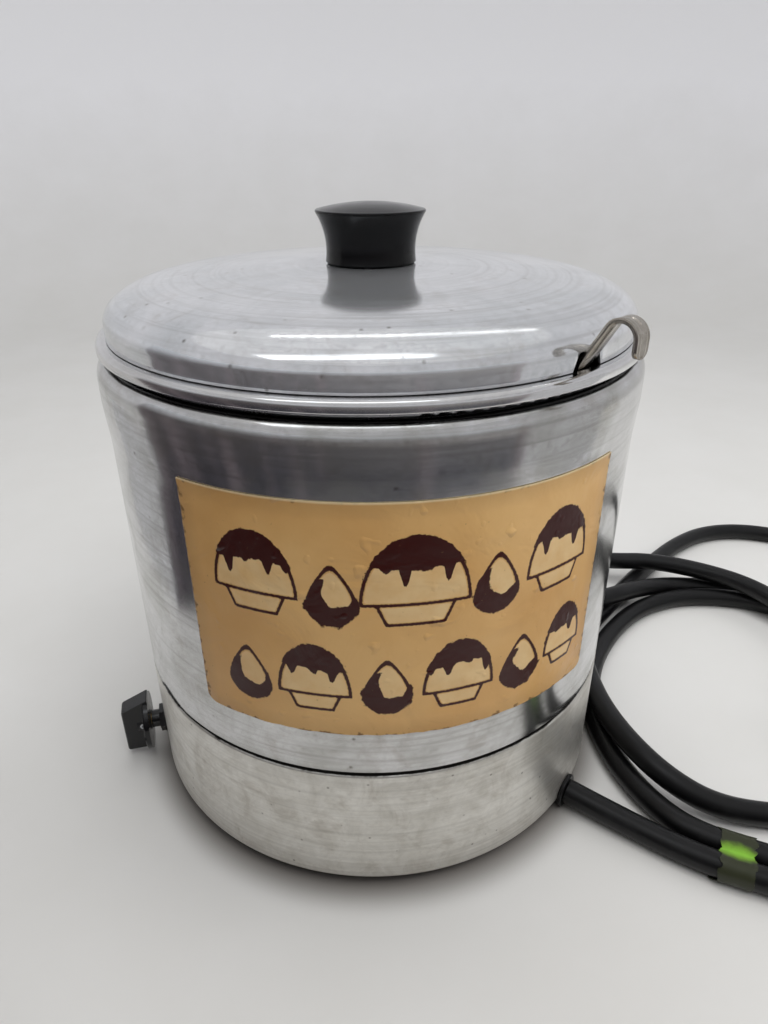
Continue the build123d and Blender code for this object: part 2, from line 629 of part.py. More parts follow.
# ---------------------------------------------------------------- ladle
def strap_line(z):
    """Radius of the strap's middle at a height, so that it clears the flare of the pan."""
    lean = math.radians(LADLE_LEAN)
    rim_middle = PAN_FLARE_R - (STRAP[1] / 2 + STRAP_RIM_GAP) / math.sin(lean)
    return rim_middle + (z - PAN_RIM_Z) / math.tan(lean)


def bowl_mouth():
    """Radius and height of the centre of the bowl's mouth."""
    lean = math.radians(LADLE_LEAN)
    across, along = math.sin(lean), math.cos(lean)
    reach = math.hypot(BOWL_R * along, BOWL_DOME * across)
    z = PAN_FLOOR_Z + BOWL_FLOOR_GAP + reach + BOWL_STRAIGHT * across
    side = BOWL_R + STRAP[1] / 2 + FIT
    r = strap_line(z - side * along) - side * across
    return r, z


def bowl_place():
    """The middle of the bowl's mouth, with Z up along the handle and X towards it."""
    lean = math.radians(LADLE_LEAN)
    section = upright(LADLE_AZ)
    along = section.x_dir * math.cos(lean) + Vector(0, 0, math.sin(lean))
    towards = section.x_dir * math.sin(lean) - Vector(0, 0, math.cos(lean))
    r, z = bowl_mouth()
    origin = section.x_dir * r + Vector(0, 0, z)
    return Plane(origin=origin, x_dir=towards, z_dir=along).location


def bowl_form(r, deep, dome, top):
    """A solid cup: a straight wall from top down to deep, and an oval dome below it."""
    arc = EllipticalCenterArc((0, deep), r, dome, -90, arc_size=90)
    return spun(arc, *Polyline((r, deep), (r, top), (0, top), (0, deep - dome)).edges())


def ladle_bowl():
    w = BOWL_WALL
    deep = -BOWL_STRAIGHT
    bowl = bowl_form(BOWL_R, deep, BOWL_DOME, 0) - bowl_form(BOWL_R - w, deep, BOWL_DOME - w, 1)
    for z in RIVET_Z:
        bowl -= Pos(BOWL_R - 4, 0, z) * Rot(0, 90, 0) * Cylinder(RIVET_R + FIT, 8, align=UP)
    return bowl_place() * bowl


def strap_path():
    """The middle of the strap as edges in the upright plane: tab, straight, hook and tail."""
    lean = math.radians(LADLE_LEAN)
    along = Vector(math.cos(lean), math.sin(lean))
    mouth_r, mouth_z = bowl_mouth()
    side = BOWL_R + STRAP[1] / 2 + FIT
    tab = Vector(mouth_r + side * math.sin(lean), mouth_z - side * math.cos(lean)) - along * BOWL_STRAIGHT
    bend = Vector(strap_line(HOOK_BEND_Z), HOOK_BEND_Z)
    centre = bend + Vector(math.sin(lean), -math.cos(lean)) * HOOK_R
    start = LADLE_LEAN + 90
    hook = CenterArc(centre, HOOK_R, start, -HOOK_TURN)
    tail_end = Vector((hook @ 1).X, HOOK_END_Z) if abs((hook % 1).X) < 0.02 else hook @ 1 + (hook % 1) * 6.5
    return [Line(tab, bend), hook, Line(hook @ 1, tail_end)]


def ladle_handle():
    """A flat strap: its tab is riveted to the bowl and its head is a hook."""
    line, hook, tail = strap_path()
    half = STRAP[1] / 2
    section = upright(LADLE_AZ)
    normal = Vector(-(line % 0).Y, (line % 0).X)
    low, high = line @ 0, line @ 1
    pieces = [[low + normal * half, high + normal * half, high - normal * half, low - normal * half]]
    side = Vector(-(tail % 0).Y, (tail % 0).X)
    one, two = tail @ 0, tail @ 1
    pieces += [[one + side * half, two + side * half, two - side * half, one - side * half]]
    faces = [make_face(Polyline(*corners, close=True)) for corners in pieces]
    centre = hook.arc_center
    wedge = make_face([CenterArc(centre, HOOK_R + half, LADLE_LEAN + 90, -HOOK_TURN),
                       CenterArc(centre, HOOK_R - half, LADLE_LEAN + 90, -HOOK_TURN),
                       Line(high + normal * half, high - normal * half),
                       Line(tail @ 0 + side * half, tail @ 0 - side * half)])
    faces.insert(1, wedge)
    straight, bend, end = [extrude(section * face, STRAP[0] / 2, both=True) for face in faces]
    solid = straight + bend + end
    for z in RIVET_Z:
        hole = Pos(BOWL_R - 4, 0, z) * Rot(0, 90, 0) * Cylinder(RIVET_R + FIT, 8, align=UP)
        solid -= bowl_place() * hole
    return solid


def ladle_rivets():
    """Two rivets through the tab and the wall of the bowl, with low round heads."""
    inner = BOWL_R - BOWL_WALL
    outer = BOWL_R + STRAP[1] + FIT
    head = 0.8
    shank = Pos(inner - 0.3, 0, 0) * Rot(0, 90, 0) * Cylinder(RIVET_R, outer - inner + 0.6, align=UP)
    inside = Pos(inner - 0.15 - head, 0, 0) * Rot(0, 90, 0) * Cylinder(RIVET_R + 0.9, head, align=UP)
    outside = Pos(outer + FIT, 0, 0) * Rot(0, 90, 0) * Cylinder(RIVET_R + 0.9, head, align=UP)
    rivet = shank + inside + outside
    return [bowl_place() * Pos(0, 0, z) * rivet for z in RIVET_Z]


# ---------------------------------------------------------------- free cord, tape and plug
FLOOR_Z = CORD_R + 0.1          # height of the cord's middle where it lies on the floor
TAPED_Z = FLOOR_Z + 0.7         # where the tape holds two strands together
OVER_Z = FLOOR_Z + 2 * CORD_R + 0.5     # where one strand lies on another
HUMP_Z = OVER_Z + 0.8           # at the top of a hump over a strand
CORD_START_GAP = 0.3            # between the cord's two lengths, inside and outside the bush

CORD_ROUTE = [
    at(CORD_END_R + CORD_START_GAP, CORD_AZ, CORD_Z),
    # out past the tape and round the widest loop
    (96.9, -93.4, 5.9), (117.9, -111.9, TAPED_Z), (149.0, -130.2, TAPED_Z), (183, -146, FLOOR_Z),
    (221, -153, FLOOR_Z), (260, -150, FLOOR_Z), (297, -136, FLOOR_Z), (329, -112, FLOOR_Z),
    (353, -79, FLOOR_Z), (366, -40, FLOOR_Z), (367, 2, FLOOR_Z), (359, 43, FLOOR_Z), (342, 81, FLOOR_Z),
    (319, 116, FLOOR_Z), (288, 136, FLOOR_Z), (256, 138.5, FLOOR_Z), (227, 125, FLOOR_Z),
    (200, 105, FLOOR_Z), (176, 85.5, FLOOR_Z), (153.5, 64.5, FLOOR_Z),
    # beside the warmer, up on the strand that lies there, and off it to the inner loop
    (136, 48.5, 5.8), (120.5, 31, 10), (111.4, 10, 14.5), (106.3, -13, OVER_Z), (104.9, -36, OVER_Z),
    (108, -58, OVER_Z), (117, -76, 13), (132, -88, 8), (153, -94, FLOOR_Z), (180, -99, FLOOR_Z),
    (210, -102, FLOOR_Z), (241, -92, FLOOR_Z), (265, -69, FLOOR_Z), (277, -38, FLOOR_Z), (277, -4, FLOOR_Z),
    (264, 28, FLOOR_Z), (245, 50, FLOOR_Z), (222, 60.5, FLOOR_Z), (196, 64, FLOOR_Z), (171, 57.5, FLOOR_Z),
    # beside the warmer again, under the other strand, past the tape and round the middle loop
    (150, 44, FLOOR_Z), (131, 25.5, FLOOR_Z), (116, 5, FLOOR_Z), (106.6, -17, FLOOR_Z), (103, -42, FLOOR_Z),
    (104, -66, FLOOR_Z), (111.5, -88, 5.6), (121.9, -100.9, TAPED_Z), (148.3, -117, TAPED_Z),
    (177, -131, FLOOR_Z), (211, -137, FLOOR_Z), (246, -130, FLOOR_Z), (275, -111, FLOOR_Z),
    (295, -81, FLOOR_Z), (303, -45, FLOOR_Z),
    (299, -9, FLOOR_Z), (283, 24, FLOOR_Z), (261, 51.5, FLOOR_Z), (237, 67, FLOOR_Z), (213, 74, FLOOR_Z),
    # over two strands and round the loop behind the warmer
    (189, 73, 8.5), (166, 63.5, 14), (143, 53, HUMP_Z), (118, 53, 14.5), (94, 65, 9), (71.5, 82.5, FLOOR_Z),
    (46, 100.5, FLOOR_Z), (20, 120, FLOOR_Z), (4, 148, FLOOR_Z), (4, 181, FLOOR_Z), (21, 209, FLOOR_Z),
    (52, 224, FLOOR_Z), (85, 220, FLOOR_Z), (112, 199, FLOOR_Z), (127, 169, FLOOR_Z), (135, 138, FLOOR_Z),
    (146, 113, 9), (164, 96, 14.5),
    # over the other strands to the plug, inside the loops
    (188, 89, HUMP_Z), (214, 74, HUMP_Z), (236, 52, HUMP_Z), (249, 23, 13.5), (247, -8, 11), (236, -34, 13.1),
]

TAPE_AT = (0.25, 0.36)          # where along their taped runs the tape is centred, on each strand
TAPE_RUNS = (2, 48)             # the route points where those two runs start
TAPE_L = 14.0
TAPE_R = (CORD_R + 0.52, CORD_R + 0.74)   # inside and outside, round each strand

PLUG_GAP = 0.45
PLUG = (27.0, 26.0, 26.0)       # width, height and length of the plug's body
PLUG_NECK = (8.2, 6.3, 15.0)    # radii at the body and at the cord, and length
BLADE = (1.5, 6.35, 17.0)
BLADE_SPACING = 12.7
BLADE_RISE = 4.4
PIN_R = 2.4
PIN_DROP = 11.9                 # ground pin below the blades
PIN_L = 19.0


def cord_bends():
    """The arc radius at each point: 0.45 of the shorter run over the tangent of half the turn."""
    bends = []
    points = [Vector(*p) for p in CORD_ROUTE]
    for before, here, after in zip(points, points[1:], points[2:]):
        one, two = here - before, after - here
        half_turn = math.radians(one.get_angle(two)) / 2
        bends.append(0.45 * min(one.length, two.length) / math.tan(half_turn))
    return bends


def cord():
    path = FilletPolyline(*CORD_ROUTE, radius=cord_bends())
    section = Plane(origin=path @ 0, z_dir=path % 0) * Circle(CORD_R)
    solid = sweep(section, path)
    expected = math.pi * CORD_R ** 2 * path.length
    print(f"cord: length {path.length:.0f}, volume over section times length {solid.volume / expected:.4f}")
    print("cord bends, smallest first:", [round(r) for r in sorted(cord_bends())[:8]])
    return solid


def tape_wrap():
    """A turn of tape round two strands that lie side by side."""
    middles = []
    for first, share in zip(TAPE_RUNS, TAPE_AT):
        start, end = Vector(*CORD_ROUTE[first]), Vector(*CORD_ROUTE[first + 1])
        middles.append(start + (end - start) * share)
    start, end = Vector(*CORD_ROUTE[TAPE_RUNS[0]]), Vector(*CORD_ROUTE[TAPE_RUNS[0] + 1])
    along = (end - start).normalized()
    across = middles[1] - middles[0]
    across = across - along * across.dot(along)
    place = Plane(origin=(middles[0] + middles[1]) / 2, x_dir=across.normalized(), z_dir=along)
    inside, outside = [SlotCenterToCenter(across.length, 2 * r) for r in TAPE_R]
    return extrude(place * (outside - inside), TAPE_L / 2, both=True)


def plug_place():
    """The face where the cord enters the plug, with Z along the plug and Y up."""
    last, end = Vector(*CORD_ROUTE[-2]), Vector(*CORD_ROUTE[-1])
    along = Vector(end.X - last.X, end.Y - last.Y, 0).normalized()
    x_dir = Vector(0, 0, 1).cross(along)
    return Plane(origin=end + along * PLUG_GAP, x_dir=x_dir, z_dir=along).location


def plug():
    width, height, length = PLUG
    wide, narrow, neck = PLUG_NECK
    cone = Cone(narrow, wide, neck, align=UP)
    body = Pos(0, 0, neck - 4) * Box(width, height, length + 4, align=UP)
    body = fillet(body.edges().filter_by(Axis.Z), 8.0)
    body = fillet(body.edges().group_by(Axis.Z)[0], 3.0)
    body = fillet(body.edges().group_by(Axis.Z)[-1], 1.0)
    for x, y, r in prong_spots():
        body -= Pos(x, y, neck + 6) * Cylinder(r + 1.0, length, align=UP) if r == PIN_R else \
            Pos(x, y, neck + 6) * Box(BLADE[0] + 2 * FIT, BLADE[1] + 2 * FIT, length, align=UP)
    return plug_place() * (cone + body)


def prong_spots():
    """Each prong's place on the plug's face, and its radius, or 0 for a flat blade."""
    half = BLADE_SPACING / 2
    return [(-half, BLADE_RISE, 0), (half, BLADE_RISE, 0), (0, BLADE_RISE - PIN_DROP, PIN_R)]


def plug_prongs():
    wide, narrow, neck = PLUG_NECK
    face = neck + PLUG[2]
    root = neck + 6 + FIT
    prongs = []
    for x, y, r in prong_spots():
        if r:
            prong = Cylinder(r, face - root + PIN_L, align=UP)
            prong = fillet(prong.edges().group_by(Axis.Z)[-1], r * 0.8)
        else:
            prong = Box(BLADE[0], BLADE[1], face - root + BLADE[2], align=UP)
            prong = chamfer(prong.edges().group_by(Axis.Z)[-1], 0.5)
            prong -= Pos(0, 0, face - root + BLADE[2] - 5) * Rot(0, 90, 0) * Cylinder(1.6, 10)
        prongs.append(plug_place() * Pos(x, y, root) * prong)
    return prongs


# ---------------------------------------------------------------- nodes
NODES = {
    "base_shell": base_shell, "outer_shell": outer_shell, "well": well, "insulation_wrap": insulation_wrap,
    "heater_disc": heater_disc, "heater_plate": heater_plate, "heater_studs": heater_studs,
    "heater_nuts": heater_nuts, "thermostat_body": thermostat_body, "thermostat_bushing": thermostat_bushing,
    "thermostat_washer": thermostat_washer, "thermostat_nut": thermostat_nut,
    "thermostat_shaft": thermostat_shaft, "thermostat_knob": thermostat_knob, "knob_insert": knob_insert,
    "knob_set_screw": knob_set_screw, "bottom_plate": bottom_plate, "bottom_screws": bottom_screws,
    "foot_screws": foot_screws, "foot_nuts": foot_nuts, "cord_bushing": cord_bushing, "cord_inner": cord_inner,
    "cord_clamp": cord_clamp, "clamp_screws": clamp_screws, "lead_line": lead_line, "lead_heater": lead_heater,
    "lead_neutral": lead_neutral, "lead_ground": lead_ground, "ground_screw": ground_screw, "label": label,
    "inset_pan": inset_pan, "lid": lid, "lid_knob": lid_knob, "knob_washer": knob_washer,
    "knob_screw": knob_screw, "ladle_bowl": ladle_bowl, "ladle_handle": ladle_handle,
    "ladle_rivets": ladle_rivets, "cord": cord, "tape_wrap": tape_wrap, "plug": plug, "plug_prongs": plug_prongs,
}
for number, azimuth in enumerate(FOOT_AZ, 1):
    NODES[f"foot_{number}"] = lambda azimuth=azimuth: foot(azimuth)

os.makedirs("parts", exist_ok=True)
for name, make in NODES.items():
    made = make()
    shape = Compound(children=[Compound(part.solids()) for part in made]) if isinstance(made, list) else made
    solids = shape.solids()
    whole = solids[0] if len(solids) == 1 else Compound(solids)
    whole.label = name
    export_step(whole, f"parts/{name}.step")
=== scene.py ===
# %% [markdown]
# # A countertop topping warmer
#
# The warmer is a round water bath of spun aluminium. A pan of food hangs in it, under a domed lid
# with a black knob, and a ladle hooks over the rim. The engineering model of every part is loaded
# first, as a fixed frame in metres, and everything below is built on the places that it gives.
# Lengths are written in millimetres, because that is how such parts are measured.

# %% Load the frame
import math

import bpy
import numpy as np
from mathutils import Matrix, Vector


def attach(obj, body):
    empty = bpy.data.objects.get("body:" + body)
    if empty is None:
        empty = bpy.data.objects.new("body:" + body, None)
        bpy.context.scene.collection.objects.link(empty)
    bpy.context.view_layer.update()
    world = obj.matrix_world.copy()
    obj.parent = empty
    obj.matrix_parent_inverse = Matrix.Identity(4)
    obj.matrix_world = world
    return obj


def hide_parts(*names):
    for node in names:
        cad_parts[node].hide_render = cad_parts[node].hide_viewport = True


MM = 0.001
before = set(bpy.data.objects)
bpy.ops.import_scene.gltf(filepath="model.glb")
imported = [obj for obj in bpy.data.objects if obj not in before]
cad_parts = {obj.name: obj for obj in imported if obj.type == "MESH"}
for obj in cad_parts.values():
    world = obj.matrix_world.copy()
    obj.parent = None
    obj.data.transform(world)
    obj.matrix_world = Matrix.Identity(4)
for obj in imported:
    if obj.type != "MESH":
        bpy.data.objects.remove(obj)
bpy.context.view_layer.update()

# %% [markdown]
# ## Small helpers
#
# Places are easiest to give as on a drawing of a round thing: a distance to the axis, an azimuth and
# a height. An operator acts on all that is selected, and the frame arrives with everything selected,
# so every piece starts by deselecting. A modifier is applied at once, and the mesh is then final.

# %% Helpers for places, selection and modifiers
def on_shell(radius, azimuth, height):
    """A point in metres from its distance to the axis, its azimuth in degrees and its height."""
    angle = math.radians(azimuth)
    return Vector((radius * math.cos(angle), radius * math.sin(angle), height)) * MM


def deselect_all():
    """Leaves edit mode and deselects everything, because an operator acts on all that is selected."""
    if bpy.context.object and bpy.context.object.mode != "OBJECT":
        bpy.ops.object.mode_set(mode="OBJECT")
    bpy.ops.object.select_all(action="DESELECT")


def make_active(piece):
    """Selects one piece alone."""
    deselect_all()
    piece.select_set(True)
    bpy.context.view_layer.objects.active = piece


def named(name):
    """Names the object that was just added, and its mesh."""
    piece = bpy.context.object
    piece.name = name
    piece.data.name = name
    return piece


def apply_modifier(piece, kind, **settings):
    """Adds a modifier with its settings and applies it."""
    make_active(piece)
    modifier = piece.modifiers.new(kind, kind)
    for setting, value in settings.items():
        setattr(modifier, setting, value)
    bpy.ops.object.modifier_apply(modifier=modifier.name)


def smooth(piece, angle=35):
    """Smooth shading, except over edges sharper than an angle in degrees."""
    make_active(piece)
    bpy.ops.object.shade_smooth_by_angle(angle=math.radians(angle))


print("a point on the shell's right:", [round(c, 4) for c in on_shell(101.6, 0, 100)])

# %% [markdown]
# Outlines are lists of points in millimetres. A sheet that is folded over a form has an arc at every
# corner, a shoulder that was pressed down is a quarter of an oval, and a long straight run is divided
# where it has to follow a dent later.

# %% Helpers for outlines
def rounded(corners, radii, steps=8):
    """An outline through the corners, with an arc of the given radius at each inner corner."""
    points = [Vector(c) for c in corners]
    outline = [points[0]]
    for before, here, after, radius in zip(points, points[1:], points[2:], radii):
        back, ahead = (before - here).normalized(), (after - here).normalized()
        half = back.angle(ahead) / 2
        centre = here + (back + ahead).normalized() * radius / math.sin(half)
        start = here + back * radius / math.tan(half) - centre
        end = here + ahead * radius / math.tan(half) - centre
        for step in range(steps + 1):
            outline.append(centre + start.normalized().slerp(end.normalized(), step / steps) * radius)
    return outline + [points[-1]]


def ellipse_arc(centre, half_axes, first, last, steps):
    """Points of an ellipse between two angles in degrees, both ends included."""
    angles = [math.radians(first + (last - first) * step / steps) for step in range(steps + 1)]
    across, up = half_axes
    return [(centre[0] + across * math.cos(a), centre[1] + up * math.sin(a)) for a in angles]


def divided(start, end, count):
    """Points along a straight run, without its last one."""
    start, end = Vector(start), Vector(end)
    return [start.lerp(end, step / count) for step in range(count)]


print("a rounded corner in 3 steps:", len(rounded([(0, 0), (10, 0), (10, 10)], [4], 3)), "points")

# %% [markdown]
# Nearly all of this object is round sheet metal. It could start from bevelled cylinders, but a lathe
# gives each bead and shoulder its true section. The section is drawn as an outline of (radius, height)
# points, one by one with extrude, and is then spun round its axis. The ends of the turn meet, so
# doubles are merged, and the normals are recalculated before Solidify gives the sheet its thickness,
# because a sheet that faces inwards would grow the wrong way.

# %% Helpers for drawing and spinning
FULL_TURN = math.tau
SPIN_STEPS = 192              # facets round a piece as wide as the shell
MERGE_DISTANCE = 0.004 * MM   # points nearer than this are one point


def draw(name, points):
    """Draws a line through the points with extrude. It stays in edit mode with all of it selected."""
    deselect_all()
    bpy.ops.mesh.primitive_plane_add(size=MM)
    piece = named(name)
    bpy.ops.object.mode_set(mode="EDIT")
    bpy.ops.mesh.merge(type="CENTER")
    bpy.ops.transform.translate(value=points[0])
    for before, after in zip(points, points[1:]):
        bpy.ops.mesh.extrude_vertices_move(TRANSFORM_OT_translate={"value": after - before})
    bpy.ops.mesh.select_all(action="SELECT")
    return piece


def face_outwards():
    """Turns all faces of the piece in edit mode outwards, and leaves edit mode."""
    bpy.ops.mesh.select_all(action="SELECT")
    bpy.ops.mesh.normals_make_consistent(inside=False)
    bpy.ops.object.mode_set(mode="OBJECT")


def prism(name, points, along):
    """A closed outline, filled and extruded along a vector."""
    piece = draw(name, points)
    bpy.ops.mesh.edge_face_add()
    bpy.ops.mesh.extrude_region_move(TRANSFORM_OT_translate={"value": along})
    face_outwards()
    return piece


def spin_piece(name, outline, origin=(0, 0, 0), out=(1, 0, 0), axis=(0, 0, 1), steps=SPIN_STEPS,
               turn=FULL_TURN, front=(1, 0)):
    """Draws an outline of (radius, height) with extrude and spins it. Its first run faces front."""
    origin, out, axis = Vector(origin), Vector(out), Vector(axis)
    points = [origin + (out * r + axis * z) * MM for r, z in outline]
    piece = draw(name, points)
    bpy.ops.mesh.spin(steps=steps, angle=turn, center=origin, axis=axis)
    bpy.ops.mesh.select_all(action="SELECT")
    bpy.ops.mesh.remove_doubles(threshold=MERGE_DISTANCE)
    face_outwards()
    if not faces_front(piece, points, out, axis, front):
        make_active(piece)
        bpy.ops.object.mode_set(mode="EDIT")
        bpy.ops.mesh.select_all(action="SELECT")
        bpy.ops.mesh.flip_normals()
        bpy.ops.object.mode_set(mode="OBJECT")
    return piece


def faces_front(piece, points, out, axis, front):
    """Whether the faces of the outline's first run look the way that front gives."""
    middle = (points[0] + points[1]) / 2
    face = min(piece.data.polygons, key=lambda f: (f.center - middle).length)
    return face.normal.dot(out * front[0] + axis * front[1]) > 0


def report(piece, body, stands_for=()):
    """Makes a piece ride on its body, hides the frame's nodes that it stands for, and prints it."""
    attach(piece, body)
    if stands_for:
        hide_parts(*stands_for)
    print(f"{piece.name}: {len(piece.data.polygons)} faces on {body}")


print("a full turn has", SPIN_STEPS, "steps")

# %% [markdown]
# ## Materials by recipe
#
# A finish is a small graph of nodes round one Principled shader. The helper below adds any node
# with its settings, values and links, so that each recipe reads as a list of what it mixes.
# Colours are written as the sRGB hex values that a paint chart would give, and turned to linear.

# %% Helpers for materials
def linear(hex_colour):
    """Linear red, green, blue and alpha from an sRGB hex colour."""
    channels = [int(hex_colour[place:place + 2], 16) / 255 for place in (1, 3, 5)]
    return [c / 12.92 if c <= 0.04045 else ((c + 0.055) / 1.055) ** 2.4 for c in channels] + [1.0]


def add_node(material, kind, settings=None, values=None, links=None):
    """Adds a node, sets its settings and its sockets' values, and links its sockets to others."""
    tree = material.node_tree
    node = tree.nodes.new(kind)
    for setting, value in (settings or {}).items():
        setattr(node, setting, value)
    for socket, value in (values or {}).items():
        node.inputs[socket].default_value = value
    for socket, source in (links or {}).items():
        tree.links.new(source, node.inputs[socket])
    return node


def new_material(name, **sockets):
    """A material with one Principled shader whose sockets have the given values."""
    material = bpy.data.materials.new(name)
    material.use_nodes = True
    shader = material.node_tree.nodes["Principled BSDF"]
    for socket, value in sockets.items():
        shader.inputs[socket.replace("_", " ")].default_value = value
    return material, shader


def connect(material, shader, sources):
    """Links the shader's named sockets to what drives them."""
    for socket, source in sources.items():
        material.node_tree.links.new(source, shader.inputs[socket])


def finish_with(piece, material):
    """Gives a piece one material all over."""
    piece.data.materials.clear()
    piece.data.materials.append(material)


print("middle grey is", [round(c, 3) for c in linear("#808080")[:3]], "in linear light")

# %% [markdown]
# ## The camera
#
# The camera stands a little left of the warmer's middle, above the lid, and looks down on it. It is
# close by and its lens is wide, 25 mm on a 36 mm frame, so the lid looks larger than the foot.

# %% The camera
CAMERA_PLACE = Vector((-32.3, -279.3, 258.3)) * MM
CAMERA_YAW = 7.49         # degrees to the right of +Y
CAMERA_PITCH = 27.51      # degrees down
CAMERA_ROLL = -0.29
CAMERA_LENS = 25.22
SENSOR = 36


def aimed(yaw, pitch, roll):
    """The rotation of a camera from its yaw, pitch and roll in degrees."""
    yaw, pitch, roll = math.radians(yaw), math.radians(pitch), math.radians(roll)
    forward = Vector((math.sin(yaw) * math.cos(pitch), math.cos(yaw) * math.cos(pitch), -math.sin(pitch)))
    level = forward.cross(Vector((0, 0, 1))).normalized()
    upright = level.cross(forward)
    right = level * math.cos(roll) + upright * math.sin(roll)
    return Matrix((right, right.cross(forward), -forward)).transposed()


camera_turn = aimed(CAMERA_YAW, CAMERA_PITCH, CAMERA_ROLL).to_euler()
bpy.ops.object.camera_add(location=CAMERA_PLACE, rotation=camera_turn)
camera = named("camera")
camera.data.lens = CAMERA_LENS
camera.data.sensor_width = SENSOR
camera.data.clip_start = 5 * MM
bpy.context.scene.camera = camera
bpy.context.scene.view_settings.view_transform = "Standard"
print("camera at", [round(c / MM) for c in camera.location], "mm")

# %% [markdown]
# ## The cord
#
# A heater cord is a stiff rubber lead about 10 mm thick. It leaves the base at the front right,
# goes out past a wrap of tape, and lies in three loose loops of different size, with one more loop
# behind the warmer. Simulating it would lose the lay, so its route is a list of points, given one
# every few centimetres, and a NURBS spline of order 3 turns them into one smooth line.
# A point with two numbers lies on the table, and one with three is lifted by what is under it.

# %% The cord's line
CORD_RADIUS = 5.2
FLOOR_HEIGHT = CORD_RADIUS + 0.1   # height of the cord's middle where it lies on the table
TAPED_HEIGHT = 6.0
OVER_HEIGHT = 16.2                 # where one strand lies on another
HUMP_HEIGHT = 17.0
EXIT = on_shell(103.7, -44.0, 7.4) / MM

CORD_POINTS = [
    tuple(EXIT),
    # out past the tape and round the widest loop
    (96.9, -93.4, 5.9), (117.9, -111.9, TAPED_HEIGHT), (149.0, -130.2, TAPED_HEIGHT), (183, -146),
    (221, -153), (260, -150), (297, -136), (329, -112), (353, -79), (366, -40), (367, 2), (359, 43),
    (342, 81), (319, 116), (288, 136), (256, 138.5), (227, 125), (200, 105), (176, 85.5), (153.5, 64.5),
    # beside the warmer, up on the strand that lies there, and off it to the inner loop
    (136, 48.5, 5.8), (120.5, 31, 10), (111.4, 10, 14.5), (106.3, -13, OVER_HEIGHT),
    (104.9, -36, OVER_HEIGHT), (108, -58, OVER_HEIGHT), (117, -76, 13), (132, -88, 8), (153, -94),
    (180, -99), (210, -102), (241, -92), (265, -69), (277, -38), (277, -4), (264, 28), (245, 50),
    (222, 60.5), (196, 64), (171, 57.5),
    # beside the warmer again, under the other strand, past the tape and round the middle loop
    (150, 44), (131, 25.5), (116, 5), (106.6, -17), (103, -42), (104, -66), (111.5, -88, 5.6),
    (121.9, -100.9, TAPED_HEIGHT), (148.3, -117, TAPED_HEIGHT), (177, -131), (211, -137), (246, -130),
    (275, -111), (295, -81), (303, -45), (299, -9), (283, 24), (261, 51.5), (237, 67), (213, 74),
    # over two strands and round the loop behind the warmer
    (189, 73, 8.5), (166, 63.5, 14), (143, 53, HUMP_HEIGHT), (118, 53, 14.5), (94, 65, 9), (71.5, 82.5),
    (46, 100.5), (20, 120), (4, 148), (4, 181), (21, 209), (52, 224), (85, 220), (112, 199), (127, 169),
    (135, 138), (146, 113, 9), (164, 96, 14.5),
    # over the other strands to the plug, inside the loops
    (188, 89, HUMP_HEIGHT), (214, 74, HUMP_HEIGHT), (236, 52, HUMP_HEIGHT), (249, 23, 13.5), (247, -8, 11),
    (236, -34, 13.1),
]
CORD_ROUTE = [point if len(point) == 3 else (*point, FLOOR_HEIGHT) for point in CORD_POINTS]


def cord_curve(name, route, radius):
    """A round cord along the route, as a NURBS spline with the route's points as its control points."""
    curve = bpy.data.curves.new(name, "CURVE")
    curve.dimensions = "3D"
    curve.bevel_depth = radius * MM
    curve.bevel_resolution = 6
    curve.resolution_u = 8
    curve.use_fill_caps = True
    spline = curve.splines.new("NURBS")
    spline.points.add(len(route) - 1)
    for point, place in zip(spline.points, route):
        point.co = (*(Vector(place) * MM), 1)
    spline.order_u = 3
    spline.use_endpoint_u = True
    piece = bpy.data.objects.new(name, curve)
    bpy.context.collection.objects.link(piece)
    return piece


print("route:", len(CORD_ROUTE), "points")

# %% [markdown]
# The cord is measured along its middle, on a copy of the curve that has no thickness. Then the curve
# is made a mesh, with a section in line with every point of the route, and the ends are closed.

# %% Lay the cord
def centre_line(piece):
    """The points of a curve's own line, read from a copy of it that has no thickness."""
    bare = piece.copy()
    bare.data = piece.data.copy()
    bare.data.bevel_depth = 0
    bpy.context.collection.objects.link(bare)
    bpy.context.view_layer.update()
    mesh = bpy.data.meshes.new_from_object(bare.evaluated_get(bpy.context.evaluated_depsgraph_get()))
    points = [v.co.copy() for v in mesh.vertices]
    bpy.data.objects.remove(bare)
    bpy.data.meshes.remove(mesh)
    return points


power_cord = cord_curve("power_cord", CORD_ROUTE, CORD_RADIUS)
cord_line = centre_line(power_cord)
cord_length = sum((b - a).length for a, b in zip(cord_line, cord_line[1:]))
make_active(power_cord)
bpy.ops.object.convert(target="MESH")
smooth(power_cord, 50)
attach(power_cord, "warmer_body")
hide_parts("cord")
print(f"cord: {cord_length:.3f} m along {len(cord_line)} points")

# %% [markdown]
# Rubber that has lain about in a kitchen is a soft black with a low sheen. Handling leaves faint
# greyish scuffs, and the jacket has a very fine orange-peel texture from the extruder.

# %% Rubber of the cord
rubber, shader = new_material("extruded_rubber", Roughness=0.42, Specular_IOR_Level=0.35)
place = add_node(rubber, "ShaderNodeTexCoord").outputs["Object"]
SCUFF_SIZE = 14 * MM
PEEL_SIZE = 0.5 * MM
scuffs = add_node(rubber, "ShaderNodeTexNoise", links={"Vector": place},
                  values={"Scale": 1 / SCUFF_SIZE, "Detail": 6.0, "Roughness": 0.7})
scuffed = add_node(rubber, "ShaderNodeMapRange", values={"From Min": 0.52, "From Max": 0.78},
                   links={"Value": scuffs.outputs["Fac"]})
colour = add_node(rubber, "ShaderNodeMix", {"data_type": "RGBA"},
                  {6: linear("#0A0A0B"), 7: linear("#1B1B1C")}, {0: scuffed.outputs["Result"]})
dullness = add_node(rubber, "ShaderNodeMapRange", values={"To Min": 0.36, "To Max": 0.62},
                    links={"Value": scuffed.outputs["Result"]})
